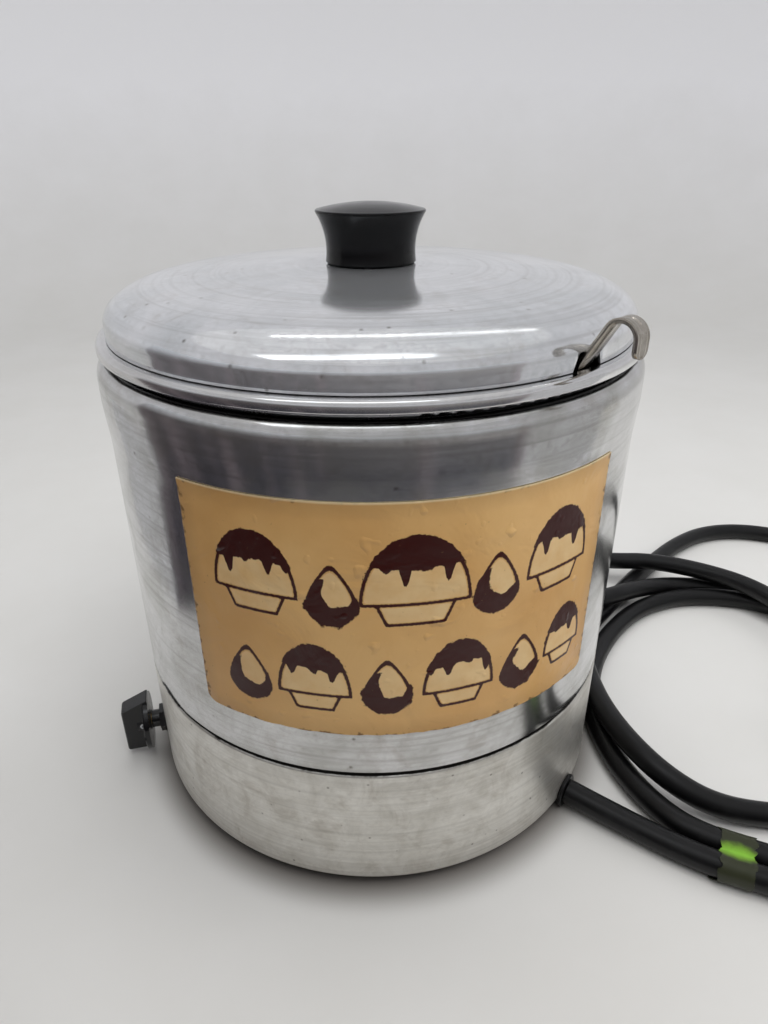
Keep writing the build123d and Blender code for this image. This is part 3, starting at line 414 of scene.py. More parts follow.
peel = add_node(rubber, "ShaderNodeTexNoise", values={"Scale": 1 / PEEL_SIZE, "Detail": 2.0},
                links={"Vector": place})
bump = add_node(rubber, "ShaderNodeBump", values={"Strength": 0.25, "Distance": 0.05 * MM},
                links={"Height": peel.outputs["Fac"]})
connect(rubber, shader, {"Base Color": colour.outputs[2], "Roughness": dullness.outputs["Result"],
                         "Normal": bump.outputs["Normal"]})
finish_with(power_cord, rubber)
for node in ("cord_inner", "cord_bushing", "foot_1", "foot_2", "foot_3", "foot_4", "plug"):
    finish_with(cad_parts[node], rubber)
print("cord finished")

# %% [markdown]
# ## The studio
#
# Polished metal shows the room more than itself, so the room is built first. A wide pale sweep,
# floor and wall in one spun piece, surrounds the object. Its colour is painted greyer low down, as
# painted shade, and darkest in a ring close under the foot, where little light gets in: a painted
# contact shadow. In front, behind the camera, is the open side of the tent with a dim room beyond
# it, and two strips of small lamps run across the tent's roof. They are seen only in reflections.

# %% The sweep
SWEEP_RADIUS = 1500
SWEEP_CORNER = 600
SWEEP_HEIGHT = 1700
# The dark ring is a painted contact shadow.
PAINTED_SHADOW_START, PAINTED_SHADOW_END = 97, 117    # the dark ring under the foot, as radii

sweep_outline = rounded([(0, 0), (SWEEP_RADIUS, 0), (SWEEP_RADIUS, SWEEP_HEIGHT)], [SWEEP_CORNER], 16)
sweep = spin_piece("sweep", sweep_outline, steps=96, front=(0, 1))
smooth(sweep, 60)
print("sweep: radius", SWEEP_RADIUS, "mm")

# %% [markdown]
# The sweep is matt paper, so it is rough and hardly mirrors. Its colour is mixed from the height above
# the floor and a soft noise, which paints shade low down, and then from the distance to the axis for
# the dark ring, a painted contact shadow.

# %% The sweep's paper
paper, shader = new_material("pale_sweep", Roughness=0.7, Specular_IOR_Level=0.2)
place = add_node(paper, "ShaderNodeTexCoord").outputs["Object"]
parts = add_node(paper, "ShaderNodeSeparateXYZ", links={"Vector": place})
# Painted shade: the paper is greyer towards the floor.
upward = add_node(paper, "ShaderNodeMapRange", values={"From Min": 5 * MM, "From Max": 420 * MM},
                  links={"Value": parts.outputs["Z"]})
mottled = add_node(paper, "ShaderNodeTexNoise", links={"Vector": place},
                   values={"Scale": 1 / (90 * MM), "Detail": 6.0, "Roughness": 0.6})
uneven = add_node(paper, "ShaderNodeMath", {"operation": "MULTIPLY_ADD"}, {1: 0.3},
                  {0: mottled.outputs["Fac"], 2: upward.outputs["Result"]})
colour = add_node(paper, "ShaderNodeMix", {"data_type": "RGBA"}, {6: linear("#D3D2CE"), 7: linear("#F1F1F3")},
                  {0: uneven.outputs["Value"]})
# Painted contact shadow: the paper goes dark brown in a ring close round the foot.
flat = add_node(paper, "ShaderNodeCombineXYZ", links={"X": parts.outputs["X"], "Y": parts.outputs["Y"]})
away = add_node(paper, "ShaderNodeVectorMath", {"operation": "LENGTH"}, links={0: flat.outputs["Vector"]})
painted_shadow_share = add_node(paper, "ShaderNodeMapRange", {"interpolation_type": "SMOOTHERSTEP"},
                    {"From Min": PAINTED_SHADOW_START * MM, "From Max": PAINTED_SHADOW_END * MM, "To Min": 0.8, "To Max": 0.0},
                    {"Value": away.outputs["Value"]})
painted_shadow_colour = add_node(paper, "ShaderNodeMix", {"data_type": "RGBA"}, {7: linear("#5A524A")},
                  {0: painted_shadow_share.outputs["Result"], 6: colour.outputs[2]})
paper.node_tree.links.new(painted_shadow_colour.outputs[2], shader.inputs["Base Color"])
finish_with(sweep, paper)
print("dark ring from", PAINTED_SHADOW_START, "to", PAINTED_SHADOW_END, "mm")

# %% [markdown]
# What only glows has an Emission node in place of the Principled shader. What only gloss may show is
# hidden from the camera and from every other kind of ray.

# %% Helpers for what is mirrored
def reflected_only(piece):
    """Keeps a stage piece out of direct view and shadows: only gloss shows it."""
    piece.visible_camera = False
    piece.visible_diffuse = False
    piece.visible_shadow = False
    piece.visible_transmission = False
    piece.visible_volume_scatter = False


def glowing(name, hex_colour, strength):
    """A material that only glows, and its Emission node."""
    material = bpy.data.materials.new(name)
    material.use_nodes = True
    tree = material.node_tree
    tree.nodes.remove(tree.nodes["Principled BSDF"])
    glow = add_node(material, "ShaderNodeEmission", values={"Color": linear(hex_colour),
                    "Strength": strength})
    tree.links.new(glow.outputs["Emission"], tree.nodes["Material Output"].inputs["Surface"])
    return material, glow


print("glowing plates and screens are seen in gloss alone")

# %% [markdown]
# The dim room is a bent screen that stands round the front on the line given in plan. It is nearly
# black low down, brownish further up and lighter towards the right, with soft upright bands: a
# noise that is stretched along Z gives those. Plain grey screens carry it on at both sides.

# %% The open side
ROOM_PLAN = [(-240, -12), (-255, -140), (-185, -270), (-60, -318), (130, -322), (275, -262)]
ROOM_HEIGHT = 275

SIDE_SCREENS = {"left_screen": ([(-290, 160), (-240, -12)], 120),
                "right_screen": ([(275, -262), (410, -40)], ROOM_HEIGHT)}


def screen(name, plan, height):
    """An upright sheet on a line in plan, which is seen only in reflections."""
    piece = draw(name, [Vector((x, y, -1)) * MM for x, y in plan])
    bpy.ops.mesh.extrude_region_move(TRANSFORM_OT_translate={"value": (0, 0, height * MM)})
    bpy.ops.object.mode_set(mode="OBJECT")
    reflected_only(piece)
    return piece


side_glow = glowing("grey_side", "#BBBBBC", 1.0)[0]
for name, (plan, height) in SIDE_SCREENS.items():
    finish_with(screen(name, plan, height), side_glow)
room = screen("dim_room", ROOM_PLAN, ROOM_HEIGHT)
room.visible_diffuse = True        # the open side also holds light back from the front
room.visible_shadow = True
print("open side:", len(ROOM_PLAN) - 1, "dim panels between", len(SIDE_SCREENS), "grey ones")

# %% The glow of the dim room
room_glow, glow = glowing("dim_room", "#000000", 1.0)
place = add_node(room_glow, "ShaderNodeTexCoord").outputs["Object"]
parts = add_node(room_glow, "ShaderNodeSeparateXYZ", links={"Vector": place})
upward = add_node(room_glow, "ShaderNodeMapRange", values={"From Min": 60 * MM, "From Max": 160 * MM},
                  links={"Value": parts.outputs["Z"]})
across = add_node(room_glow, "ShaderNodeMapRange", values={"From Min": -330 * MM, "From Max": 250 * MM},
                  links={"Value": parts.outputs["X"]})
upper = add_node(room_glow, "ShaderNodeMix", {"data_type": "RGBA"},
                 {6: linear("#3B3538"), 7: linear("#9A9796")}, {0: across.outputs["Result"]})
lower = add_node(room_glow, "ShaderNodeMix", {"data_type": "RGBA"},
                 {6: linear("#2B2930"), 7: linear("#5A5A5F")}, {0: across.outputs["Result"]})
shade = add_node(room_glow, "ShaderNodeMix", {"data_type": "RGBA"},
                 links={0: upward.outputs["Result"], 6: lower.outputs[2], 7: upper.outputs[2]})
BAND_SIZE = 70 * MM
stretched = add_node(room_glow, "ShaderNodeMapping", values={"Scale": (1 / BAND_SIZE, 1 / BAND_SIZE, 1)},
                     links={"Vector": place})
bands = add_node(room_glow, "ShaderNodeTexNoise", values={"Scale": 1.0, "Detail": 2.0},
                 links={"Vector": stretched.outputs["Vector"]})
banded = add_node(room_glow, "ShaderNodeMapRange", values={"From Min": 0.52, "From Max": 0.66, "To Max": 0.5},
                  links={"Value": bands.outputs["Fac"]})
seen = add_node(room_glow, "ShaderNodeMix", {"data_type": "RGBA"}, {7: linear("#94868A")},
                {0: banded.outputs["Result"], 6: shade.outputs[2]})
near_top = add_node(room_glow, "ShaderNodeMapRange", values={"From Min": 195 * MM, "From Max": 272 * MM},
                    links={"Value": parts.outputs["Z"]})
faded = add_node(room_glow, "ShaderNodeMix", {"data_type": "RGBA"}, {7: linear("#C9CCD0")},
                 {0: near_top.outputs["Result"], 6: seen.outputs[2]})
room_glow.node_tree.links.new(faded.outputs[2], glow.inputs["Color"])
finish_with(room, room_glow)
print("bands every", round(BAND_SIZE / MM), "mm or so")

# %% [markdown]
# The lamps are rows of small glowing plates under the roof, each row on a pale bar. The back row
# shows as a long bright line on the lid, and the front row as a shorter one below it. In front of
# them the roof's flap is a wide pale glow, which lights the rim and the shoulder.

# %% The lamps under the roof
ROOF = 840
LED_SIZE = (13, 24)
LED_STRIPS = {            # x of the first, y, count, pitch and glow
    "back": (-190, 340, 21, 34, 9.0),
    "front": (-480, -190, 18, 34, 2.5),
}
BAR_WIDTH, BAR_ABOVE = 46, 4
FLAP_PLACE, FLAP_SIZE = (-150, -275), (680, 130)


def lamp_plate(name, x, y, material, size=LED_SIZE, height=ROOF):
    """A plate under the roof."""
    deselect_all()
    bpy.ops.mesh.primitive_plane_add(size=1, location=Vector((x, y, height)) * MM)
    piece = named(name)
    piece.scale = (size[0] * MM, size[1] * MM, 1)
    bpy.ops.object.transform_apply(location=True, rotation=True, scale=True)
    finish_with(piece, material)
    reflected_only(piece)


for strip, (first, y, count, pitch, brightness) in LED_STRIPS.items():
    led_glow = glowing(f"{strip}_led_glow", "#FFFFFF", brightness)[0]
    for number in range(count):
        lamp_plate(f"led_{strip}_{number + 1}", first + number * pitch, y, led_glow)
    bar_glow = glowing(f"{strip}_bar_glow", "#F8FAFC", 1.3)[0]
    lamp_plate(f"bar_{strip}", first + (count - 1) * pitch / 2, y, bar_glow, (count * pitch, BAR_WIDTH),
               ROOF + BAR_ABOVE)
flap_glow = glowing("roof_flap", "#F2F6FA", 2.5)[0]
lamp_plate("roof_flap", *FLAP_PLACE, flap_glow, FLAP_SIZE)
print("lamps in each row:", {strip: values[2] for strip, values in LED_STRIPS.items()})

# %% [markdown]
# Three wide soft lamps and the world give the even light. The metal doesn't mirror the lamps.

# %% World and lights
world = bpy.data.worlds.new("tent")
bpy.context.scene.world = world
world.use_nodes = True
backdrop = world.node_tree.nodes["Background"]
backdrop.inputs["Color"].default_value = linear("#F6F6F7")
backdrop.inputs["Strength"].default_value = 0.7


def area_light(name, place, target, size, watts):
    """A white rectangular lamp that looks at a target."""
    place, target = Vector(place) * MM, Vector(target) * MM
    bpy.ops.object.light_add(type="AREA", location=place)
    lamp = named(name)
    lamp.rotation_euler = (target - place).to_track_quat("-Z", "Y").to_euler()
    lamp.data.shape = "RECTANGLE"
    lamp.data.size, lamp.data.size_y = size[0] * MM, size[1] * MM
    lamp.data.energy = watts
    lamp.visible_glossy = False


area_light("ceiling_lamp", (60, 60, 1150), (0, 0, 0), (900, 420), 4.0)
area_light("front_lamp", (120, -480, 900), (0, -60, 100), (600, 300), 2.8)
area_light("side_lamp", (850, -180, 520), (0, 0, 80), (500, 400), 1.4)
print("three soft lamps and a world of strength", backdrop.inputs["Strength"].default_value)

# %% [markdown]
# ## Spun aluminium
#
# The shells and the lid were pressed against a turning form, so a very fine grain runs round the
# axis and stretches every reflection. It could be an image wrapped round the drum, but noise in real
# millimetres has no seam and stays sharp close up. The grain has to change across the lines only.
# The distance to the axis and the height do that, and a trace of X keeps the lines from closing.

# %% Where a point lies on a turned sheet
GRAIN_PITCH = 0.35 * MM   # real spinning lines are finer, but they would not show
GRAIN_DEPTH = 0.004 * MM
LINE_PITCH = 1.5 * MM     # bundles of lines, wide enough to be seen from here


def turned_places(material):
    """Three outputs: the place, its distance to the axis, and its place across the grain."""
    place = add_node(material, "ShaderNodeTexCoord").outputs["Object"]
    parts = add_node(material, "ShaderNodeSeparateXYZ", links={"Vector": place})
    flat = add_node(material, "ShaderNodeCombineXYZ",
                    links={"X": parts.outputs["X"], "Y": parts.outputs["Y"]})
    radius = add_node(material, "ShaderNodeVectorMath", {"operation": "LENGTH"},
                      links={0: flat.outputs["Vector"]})
    along = add_node(material, "ShaderNodeMath", {"operation": "MULTIPLY"}, {1: 0.02},
                     {0: parts.outputs["X"]})
    turned = add_node(material, "ShaderNodeCombineXYZ", links={"X": radius.outputs["Value"],
                      "Y": parts.outputs["Z"], "Z": along.outputs["Value"]})
    return place, radius.outputs["Value"], turned.outputs["Vector"]


print("grain every", GRAIN_PITCH / MM, "mm")

# %% [markdown]
# Years of wiping and steam leave marks in layers, and each one is a noise, two limits that cut it off
# and a colour. Soft grey clouds come first, then brownish stains, then fine speckles and wiped lines,
# and last a few small dark pits: Voronoi cells, of which only a chosen share gets its dot.

# %% The wear on spun metal
STAIN_SIZE = 16 * MM
SPECKLE_SIZE = 2.4 * MM


def worn_colour(material, place, turned, colours, cloud_size, stain_share, pit_size, pit_share, speckle,
                streak):
    """Lays the marks over the clean metal. Gives the colour and what else the shader takes from them."""
    clouds = add_node(material, "ShaderNodeTexNoise", values={"Scale": 1 / (cloud_size * MM), "Detail": 7.0,
                      "Roughness": 0.62, "Distortion": 0.6}, links={"Vector": place})
    cloudy = add_node(material, "ShaderNodeMapRange", values={"From Min": 0.38, "From Max": 0.66},
                      links={"Value": clouds.outputs["Fac"]})
    stains = add_node(material, "ShaderNodeTexNoise", values={"Scale": 1 / STAIN_SIZE, "Detail": 5.0,
                      "Roughness": 0.7, "Distortion": 1.2}, links={"Vector": place})
    stained = add_node(material, "ShaderNodeMapRange", values={"From Min": 0.52, "From Max": 0.76,
                       "To Max": stain_share}, links={"Value": stains.outputs["Fac"]})
    fine = add_node(material, "ShaderNodeTexNoise", values={"Scale": 1 / SPECKLE_SIZE, "Detail": 4.0},
                    links={"Vector": place})
    speckled = add_node(material, "ShaderNodeMapRange", values={"From Min": 0.46, "From Max": 0.72,
                        "To Max": speckle}, links={"Value": fine.outputs["Fac"]})
    lines = add_node(material, "ShaderNodeTexNoise", values={"Scale": 1 / LINE_PITCH, "Detail": 4.0},
                     links={"Vector": turned})
    streaked = add_node(material, "ShaderNodeMapRange", values={"From Min": 0.42, "From Max": 0.7,
                        "To Max": streak}, links={"Value": lines.outputs["Fac"]})
    marked = add_node(material, "ShaderNodeMath", {"operation": "MAXIMUM"},
                      links={0: speckled.outputs["Result"], 1: streaked.outputs["Result"]})
    cells = add_node(material, "ShaderNodeTexVoronoi", links={"Vector": place},
                     values={"Scale": 1 / (pit_size * MM), "Randomness": 1.0})
    dots = add_node(material, "ShaderNodeMapRange", values={"From Min": 0.02, "From Max": 0.13, "To Min": 0.8,
                    "To Max": 0.0}, links={"Value": cells.outputs["Distance"]})
    chosen = add_node(material, "ShaderNodeSeparateColor", links={"Color": cells.outputs["Color"]})
    few = add_node(material, "ShaderNodeMath", {"operation": "LESS_THAN"}, {1: pit_share},
                   {0: chosen.outputs["Red"]})
    pits = add_node(material, "ShaderNodeMath", {"operation": "MULTIPLY"},
                    links={0: dots.outputs["Result"], 1: few.outputs["Value"]})
    colour = add_node(material, "ShaderNodeMix", {"data_type": "RGBA"},
                      {6: linear(colours[0]), 7: linear(colours[1])}, {0: cloudy.outputs["Result"]})
    for share, over in ((stained.outputs["Result"], "#8A7A66"), (marked.outputs["Value"], "#77736C"),
                        (pits.outputs["Value"], "#5E564B")):
        colour = add_node(material, "ShaderNodeMix", {"data_type": "RGBA"}, {7: linear(over)},
                          {0: share, 6: colour.outputs[2]})
    marks = {"cloudy": cloudy.outputs["Result"], "stains": stains.outputs["Fac"],
             "lines": lines.outputs["Fac"], "pits": pits.outputs["Value"]}
    return colour, marks


print("wear recipe ready, with stains", STAIN_SIZE / MM, "mm across")

# %% [markdown]
# One recipe serves all four sheets and takes the wear as numbers. Polished aluminium is a metal with a
# low roughness, and the Tangent node runs its highlights round the axis. A little less than full
# metallic stands for the thin dull film on it. Where one sheet meets the next, a shell may be painted
# nearly black inside a given radius: painted shade in the gap between them.

# %% The recipe for spun metal
def spun_metal(name, colours, roughness, anisotropy=0.4, haze=0.1, metallic=1.0, painted_shade_radius=None,
               pit_size=7, streak=0.2, *, cloud_size, stain_share, pit_share, speckle):
    """Turned sheet metal, with roughness from clean to dull and haze added along the lines."""
    material, shader = new_material(name, Metallic=metallic, Anisotropic=anisotropy,
                                    Anisotropic_Rotation=0.25)
    place, radius, turned = turned_places(material)
    colour, marks = worn_colour(material, place, turned, colours, cloud_size, stain_share, pit_size,
                                pit_share, speckle, streak)
    # Painted shade: nearly black inside the given radius, with a ragged edge from the stains' noise.
    if painted_shade_radius:
        ragged = add_node(material, "ShaderNodeMath", {"operation": "MULTIPLY_ADD"}, {1: -1.2 * MM},
                          {0: marks["stains"], 2: radius})
        grime = add_node(material, "ShaderNodeMapRange", values={"From Min": (painted_shade_radius - 0.6) * MM,
                         "From Max": (painted_shade_radius - 0.3) * MM, "To Min": 0.96, "To Max": 0.0},
                         links={"Value": ragged.outputs["Value"]})
        colour = add_node(material, "ShaderNodeMix", {"data_type": "RGBA"}, {7: linear("#14110E")},
                          {0: grime.outputs["Result"], 6: colour.outputs[2]})
    rough = add_node(material, "ShaderNodeMapRange", values={"To Min": roughness[0], "To Max": roughness[1]},
                     links={"Value": marks["cloudy"]})
    hazy = add_node(material, "ShaderNodeMath", {"operation": "MULTIPLY_ADD"}, {1: haze},
                    {0: marks["lines"], 2: rough.outputs["Result"]})
    grain = add_node(material, "ShaderNodeTexNoise", values={"Scale": 1 / GRAIN_PITCH, "Detail": 2.0},
                     links={"Vector": turned})
    height = add_node(material, "ShaderNodeMath", {"operation": "MULTIPLY_ADD"}, {1: -3.0},
                      {0: marks["pits"], 2: grain.outputs["Fac"]})
    bump = add_node(material, "ShaderNodeBump", values={"Strength": 0.6, "Distance": GRAIN_DEPTH},
                    links={"Height": height.outputs["Value"]})
    round_z = add_node(material, "ShaderNodeTangent", {"direction_type": "RADIAL", "axis": "Z"})
    connect(material, shader, {"Base Color": colour.outputs[2], "Roughness": hazy.outputs["Value"],
                               "Normal": bump.outputs["Normal"], "Tangent": round_z.outputs["Tangent"]})
    return material


# Painted shade: the shell goes dark under the pan's rim, and the base at its neck and foot.
shell_metal = spun_metal("polished_spun_aluminium", ("#DADADB", "#BFBFBC"), (0.08, 0.17), haze=0.08,
                         metallic=0.96, painted_shade_radius=99.6, cloud_size=22, stain_share=0.3, pit_share=0.3,
                         speckle=0.22, streak=0.3)
lid_metal = spun_metal("wiped_spun_aluminium", ("#EEEFF2", "#D9DCDF"), (0.05, 0.11), metallic=0.84,
                       cloud_size=34, stain_share=0.25, pit_share=0.6, speckle=0.18, streak=0.25)
base_metal = spun_metal("weathered_spun_aluminium", ("#E6E4DE", "#D5D2CA"), (0.26, 0.38), anisotropy=0.2,
                        haze=0.2, metallic=0.88, painted_shade_radius=101.0, cloud_size=11, stain_share=0.34,
                        pit_size=5, pit_share=0.3, speckle=0.14)
rim_metal = spun_metal("polished_rim_aluminium", ("#E6E6E7", "#DAD9D8"), (0.08, 0.14), cloud_size=50,
                       stain_share=0.12, pit_size=14, pit_share=0.2, speckle=0.1)
print("spun metals ready")

# %% [markdown]
# ## The shells
#
# The upper shell is a straight drum that flares by a millimetre below its rounded shoulder. Its outer
# side is spun from an outline and Solidify gives the sheet its millimetre, so no inner outline is
# drawn. Nothing handled for years is quite round: a Displace modifier with a soft cloud texture
# pushes the sheet in by a few hundredths, and that makes the reflections wander.

# %% The upper shell
SHELL_RADIUS = 101.6
SHEET = 1.0
SHELL_LOW, FLARE_LOW, FLARE_HIGH, SHOULDER_LOW = 62.2, 162.0, 176.0, 184.0
FLARE = 1.0
SHOULDER = (4.6, 6.8)     # outwards and upwards
MOUTH_RADIUS = 96.4

dents = bpy.data.textures.new("soft_dents", "CLOUDS")
dents.noise_scale = 45 * MM
dents.noise_depth = 1


def dented(piece, depth):
    """Pushes a sheet in by up to a depth in millimetres, unevenly."""
    apply_modifier(piece, "DISPLACE", texture=dents, texture_coords="LOCAL", strength=depth * MM,
                   mid_level=1.0)


def bevelled(piece, width=0.3, segments=2):
    """Rounds the cut edges of a sheet, which then catch a thin line of light."""
    apply_modifier(piece, "BEVEL", width=width * MM, segments=segments, limit_method="ANGLE",
                   angle_limit=math.radians(60))


flare_radius = SHELL_RADIUS + FLARE
shell_side = rounded([(SHELL_RADIUS, SHELL_LOW), (SHELL_RADIUS, FLARE_LOW), (flare_radius, FLARE_HIGH),
                      (flare_radius, SHOULDER_LOW)], [60, 60], 6)
shoulder = ellipse_arc((flare_radius - SHOULDER[0], SHOULDER_LOW), SHOULDER, 0, 90, 12)
shell_outline = divided(shell_side[0], shell_side[1], 30) + shell_side[1:-1] + shoulder
shell_outline.append((MOUTH_RADIUS, SHOULDER_LOW + SHOULDER[1]))
upper_shell = spin_piece("upper_shell", shell_outline)
dented(upper_shell, 0.12)
apply_modifier(upper_shell, "SOLIDIFY", thickness=SHEET * MM, offset=-1, use_even_offset=True)
bevelled(upper_shell)
smooth(upper_shell)
finish_with(upper_shell, shell_metal)
report(upper_shell, "warmer_body", ["outer_shell"])

# %% [markdown]
# The base is the same drum, with a turned-in foot and a neck that the upper shell slides over. The
# small step between them, with painted shade on the base's neck, makes the dark line round the warmer.
# Its notch for the cord and its hole for the thermostat's stem are cut with Boolean modifiers, each
# with a round rod as the cutter. The notch's rod is pulled down in edit mode, so that the notch is
# open at the foot.

# %% The base shell
BASE_LOW, BASE_STEP, NECK_TOP = 6.0, 60.4, 69.0
LIP_RADIUS = SHELL_RADIUS - 9.6
NECK_RADIUS = SHELL_RADIUS - SHEET - 0.1
CORD_AZIMUTH, CORD_HEIGHT = -44.0, 7.4
DIAL_AZIMUTH, DIAL_HEIGHT = -172.6, 18.0

base_outline = rounded([(LIP_RADIUS, BASE_LOW), (SHELL_RADIUS, BASE_LOW), (SHELL_RADIUS, BASE_STEP),
                        (NECK_RADIUS, BASE_STEP + 0.01), (NECK_RADIUS, NECK_TOP)], [1.6, 1.0, 0.004], 6)
base = spin_piece("base_drum", base_outline, front=(0, -1))
apply_modifier(base, "SOLIDIFY", thickness=SHEET * MM, offset=-1, use_even_offset=True)
print("base drum:", len(base.data.polygons), "faces")

# %% Cut the base's two openings
def rod(name, radius, start, end, azimuth, height, drop=0.0):
    """A round rod that points out of the axis, from start to end, and down by drop if that is given."""
    deselect_all()
    outwards = (0, math.radians(90), math.radians(azimuth))
    bpy.ops.mesh.primitive_cylinder_add(vertices=64, radius=radius * MM, depth=(end - start) * MM,
                                        location=on_shell((start + end) / 2, azimuth, height),
                                        rotation=outwards)
    piece = named(name)
    if drop:
        bpy.ops.object.mode_set(mode="EDIT")
        bpy.ops.mesh.select_all(action="DESELECT")
        bpy.ops.object.mode_set(mode="OBJECT")
        for vertex in piece.data.vertices:
            vertex.select = vertex.co.x > 0.0001 * MM
        bpy.ops.object.mode_set(mode="EDIT")
        bpy.ops.transform.translate(value=(0, 0, -drop * MM))
        bpy.ops.object.mode_set(mode="OBJECT")
    bpy.ops.object.transform_apply(location=True, rotation=True, scale=True)
    return piece


def cut(piece, cutter):
    """Cuts a piece with another, which is then removed."""
    apply_modifier(piece, "BOOLEAN", object=cutter, operation="DIFFERENCE", solver="EXACT")
    bpy.data.objects.remove(cutter)


cut(base, rod("cord_notch", 6.3, 85, 110, CORD_AZIMUTH, CORD_HEIGHT, drop=15))
cut(base, rod("stem_hole", 4.05, 95, 108, DIAL_AZIMUTH, DIAL_HEIGHT))
smooth(base)
finish_with(base, base_metal)
report(base, "warmer_body", ["base_shell"])

# %% [markdown]
# ## The lid
#
# The lid is one spun sheet too: a nearly flat dome, an oval shoulder and a short upright skirt. The
# dome is a slice of a large sphere, so its outline is worked out from the sphere's radius. The notch
# for the ladle is cut through the skirt with a rounded prism, and a small Bevel gives the cut edges
# the fold of light that a bare sheet edge has.

# %% The lid
LID_RADIUS, LID_EDGE, LID_TOP = 97.6, 197.5, 217.4
LID_SHOULDER = (22.8, 11.6)      # half axes of its oval shoulder
LID_SKIRT_TOP = LID_EDGE + 4.6
LID_SHOULDER_END = 78.9
DOME_SPHERE = 801.8
SCREW_HOLE = 2.5
NOTCH_AZIMUTH = -55.6


def beside(azimuth, radius, across, height):
    """A point in metres at a radius on an azimuth, shifted sideways."""
    angle = math.radians(azimuth)
    out, side = Vector((math.cos(angle), math.sin(angle), 0)), Vector((-math.sin(angle), math.cos(angle), 0))
    return (out * radius + side * across + Vector((0, 0, height))) * MM


shoulder_centre = (LID_RADIUS - LID_SHOULDER[0], LID_SKIRT_TOP)
lid_outline = divided((LID_RADIUS, LID_EDGE), (LID_RADIUS, LID_SKIRT_TOP), 3)
lid_outline += ellipse_arc(shoulder_centre, LID_SHOULDER, 0, LID_SHOULDER_END, 36)
dome_start = lid_outline[-1][0]
for step in range(1, 13):
    radius = dome_start + (SCREW_HOLE - dome_start) * step / 12
    lid_outline.append((radius, LID_TOP - DOME_SPHERE + math.sqrt(DOME_SPHERE ** 2 - radius ** 2)))
lid = spin_piece("domed_lid", lid_outline)
dented(lid, 0.1)
apply_modifier(lid, "SOLIDIFY", thickness=0.9 * MM, offset=-1, use_even_offset=True)

notch = rounded([(-7.2, 193.5), (-7.2, 197.5), (-5.0, 203.0), (5.0, 203.0), (7.2, 197.5), (7.2, 193.5)],
                [1.5, 2.0, 2.0, 1.5], 5)
notch_points = [beside(NOTCH_AZIMUTH, LID_RADIUS - 12, across, height) for across, height in notch]
notch_cutter = prism("notch_cutter", notch_points, beside(NOTCH_AZIMUTH, 24, 0, 0))
cut(lid, notch_cutter)
bevelled(lid)
smooth(lid)
finish_with(lid, lid_metal)
report(lid, "lid", ["lid"])

# %% [markdown]
# ## The pan
#
# The pan's wall flares at the top into a flat rim that rolls over the warmer's mouth. It could be a
# cylinder with inset and extruded faces, but its rounded corners are all arcs in section. Only the
# food side is drawn, from the middle of the floor outwards, and Solidify adds the sheet behind it.

# %% The pan
PAN_FLOOR, PAN_RADIUS, FLARE_START, PAN_RIM_TOP = 74.9, 93.5, 192.24, 197.3
RIM_INNER, RIM_OUTER, RIM_END = 96.6, 101.3, 193.4
pan_outline = rounded([(0, PAN_FLOOR), (PAN_RADIUS, PAN_FLOOR), (PAN_RADIUS, FLARE_START),
                       (RIM_INNER, PAN_RIM_TOP), (RIM_OUTER, PAN_RIM_TOP), (RIM_OUTER, RIM_END)],
                      [10, 3, 1.4, 2.2], 8)
pan = spin_piece("inset_pan_sheet", pan_outline, front=(0, 1))
dented(pan, 0.08)
apply_modifier(pan, "SOLIDIFY", thickness=0.9 * MM, offset=-1, use_even_offset=True)
bevelled(pan)
smooth(pan)
finish_with(pan, rim_metal)
report(pan, "pan", ["inset_pan"])

# %% [markdown]
# ## The knob
#
# The lid's knob is pressed from phenolic. Its flanks are hollow and end in a sharp rim, and the top is
# very slightly domed. Three points on a flank fix the circle that it follows, and the whole outline is
# spun.

# %% The lid's knob
KNOB_FOOT, KNOB_WAIST, KNOB_RIM = (16.8, 218.05), (16.5, 222.45), (20.0, 234.75)
KNOB_EDGE = (19.5, 235.85)
KNOB_TOP = 238.25


def arc_through(start, middle, end, steps):
    """Points on the circle through three points, with both ends."""
    start, middle, end = Vector(start), Vector(middle), Vector(end)
    one, two = middle - start, end - start
    twist = 2 * (one.x * two.y - one.y * two.x)
    centre = start + Vector((two.y * one.length_squared - one.y * two.length_squared,
                             one.x * two.length_squared - two.x * one.length_squared)) / twist
    first, last = start - centre, end - centre
    turn = first.angle_signed(last)
    return [centre + Matrix.Rotation(-turn * step / steps, 2) @ first for step in range(steps + 1)]


knob_outline = [Vector((16.2, 217.45))] + arc_through(KNOB_FOOT, KNOB_WAIST, KNOB_RIM, 24)
knob_outline += arc_through(KNOB_RIM, (20.15, 235.4), KNOB_EDGE, 6)[1:]
rise = KNOB_TOP - KNOB_EDGE[1]
crown_sphere = (KNOB_EDGE[0] ** 2 + rise ** 2) / (2 * rise)
for step in range(1, 13):
    radius = KNOB_EDGE[0] * (1 - step / 12)
    fall = crown_sphere - math.sqrt(crown_sphere ** 2 - radius ** 2)
    knob_outline.append(Vector((radius, KNOB_TOP - fall)))
lid_knob = spin_piece("lid_knob_phenolic", knob_outline, steps=144, front=(1, 0))
smooth(lid_knob, 40)
print("the crown is part of a ball of radius", round(crown_sphere), "mm")

# %% [markdown]
# Most small parts have an even finish: two close colours, a range of roughness, and a fine bump. One
# recipe makes them all. Black phenolic is the first. It shows almost nothing of its own colour, and
# the eye gets the shape from a narrow sheen on the flank and the pale wall mirrored in the top.

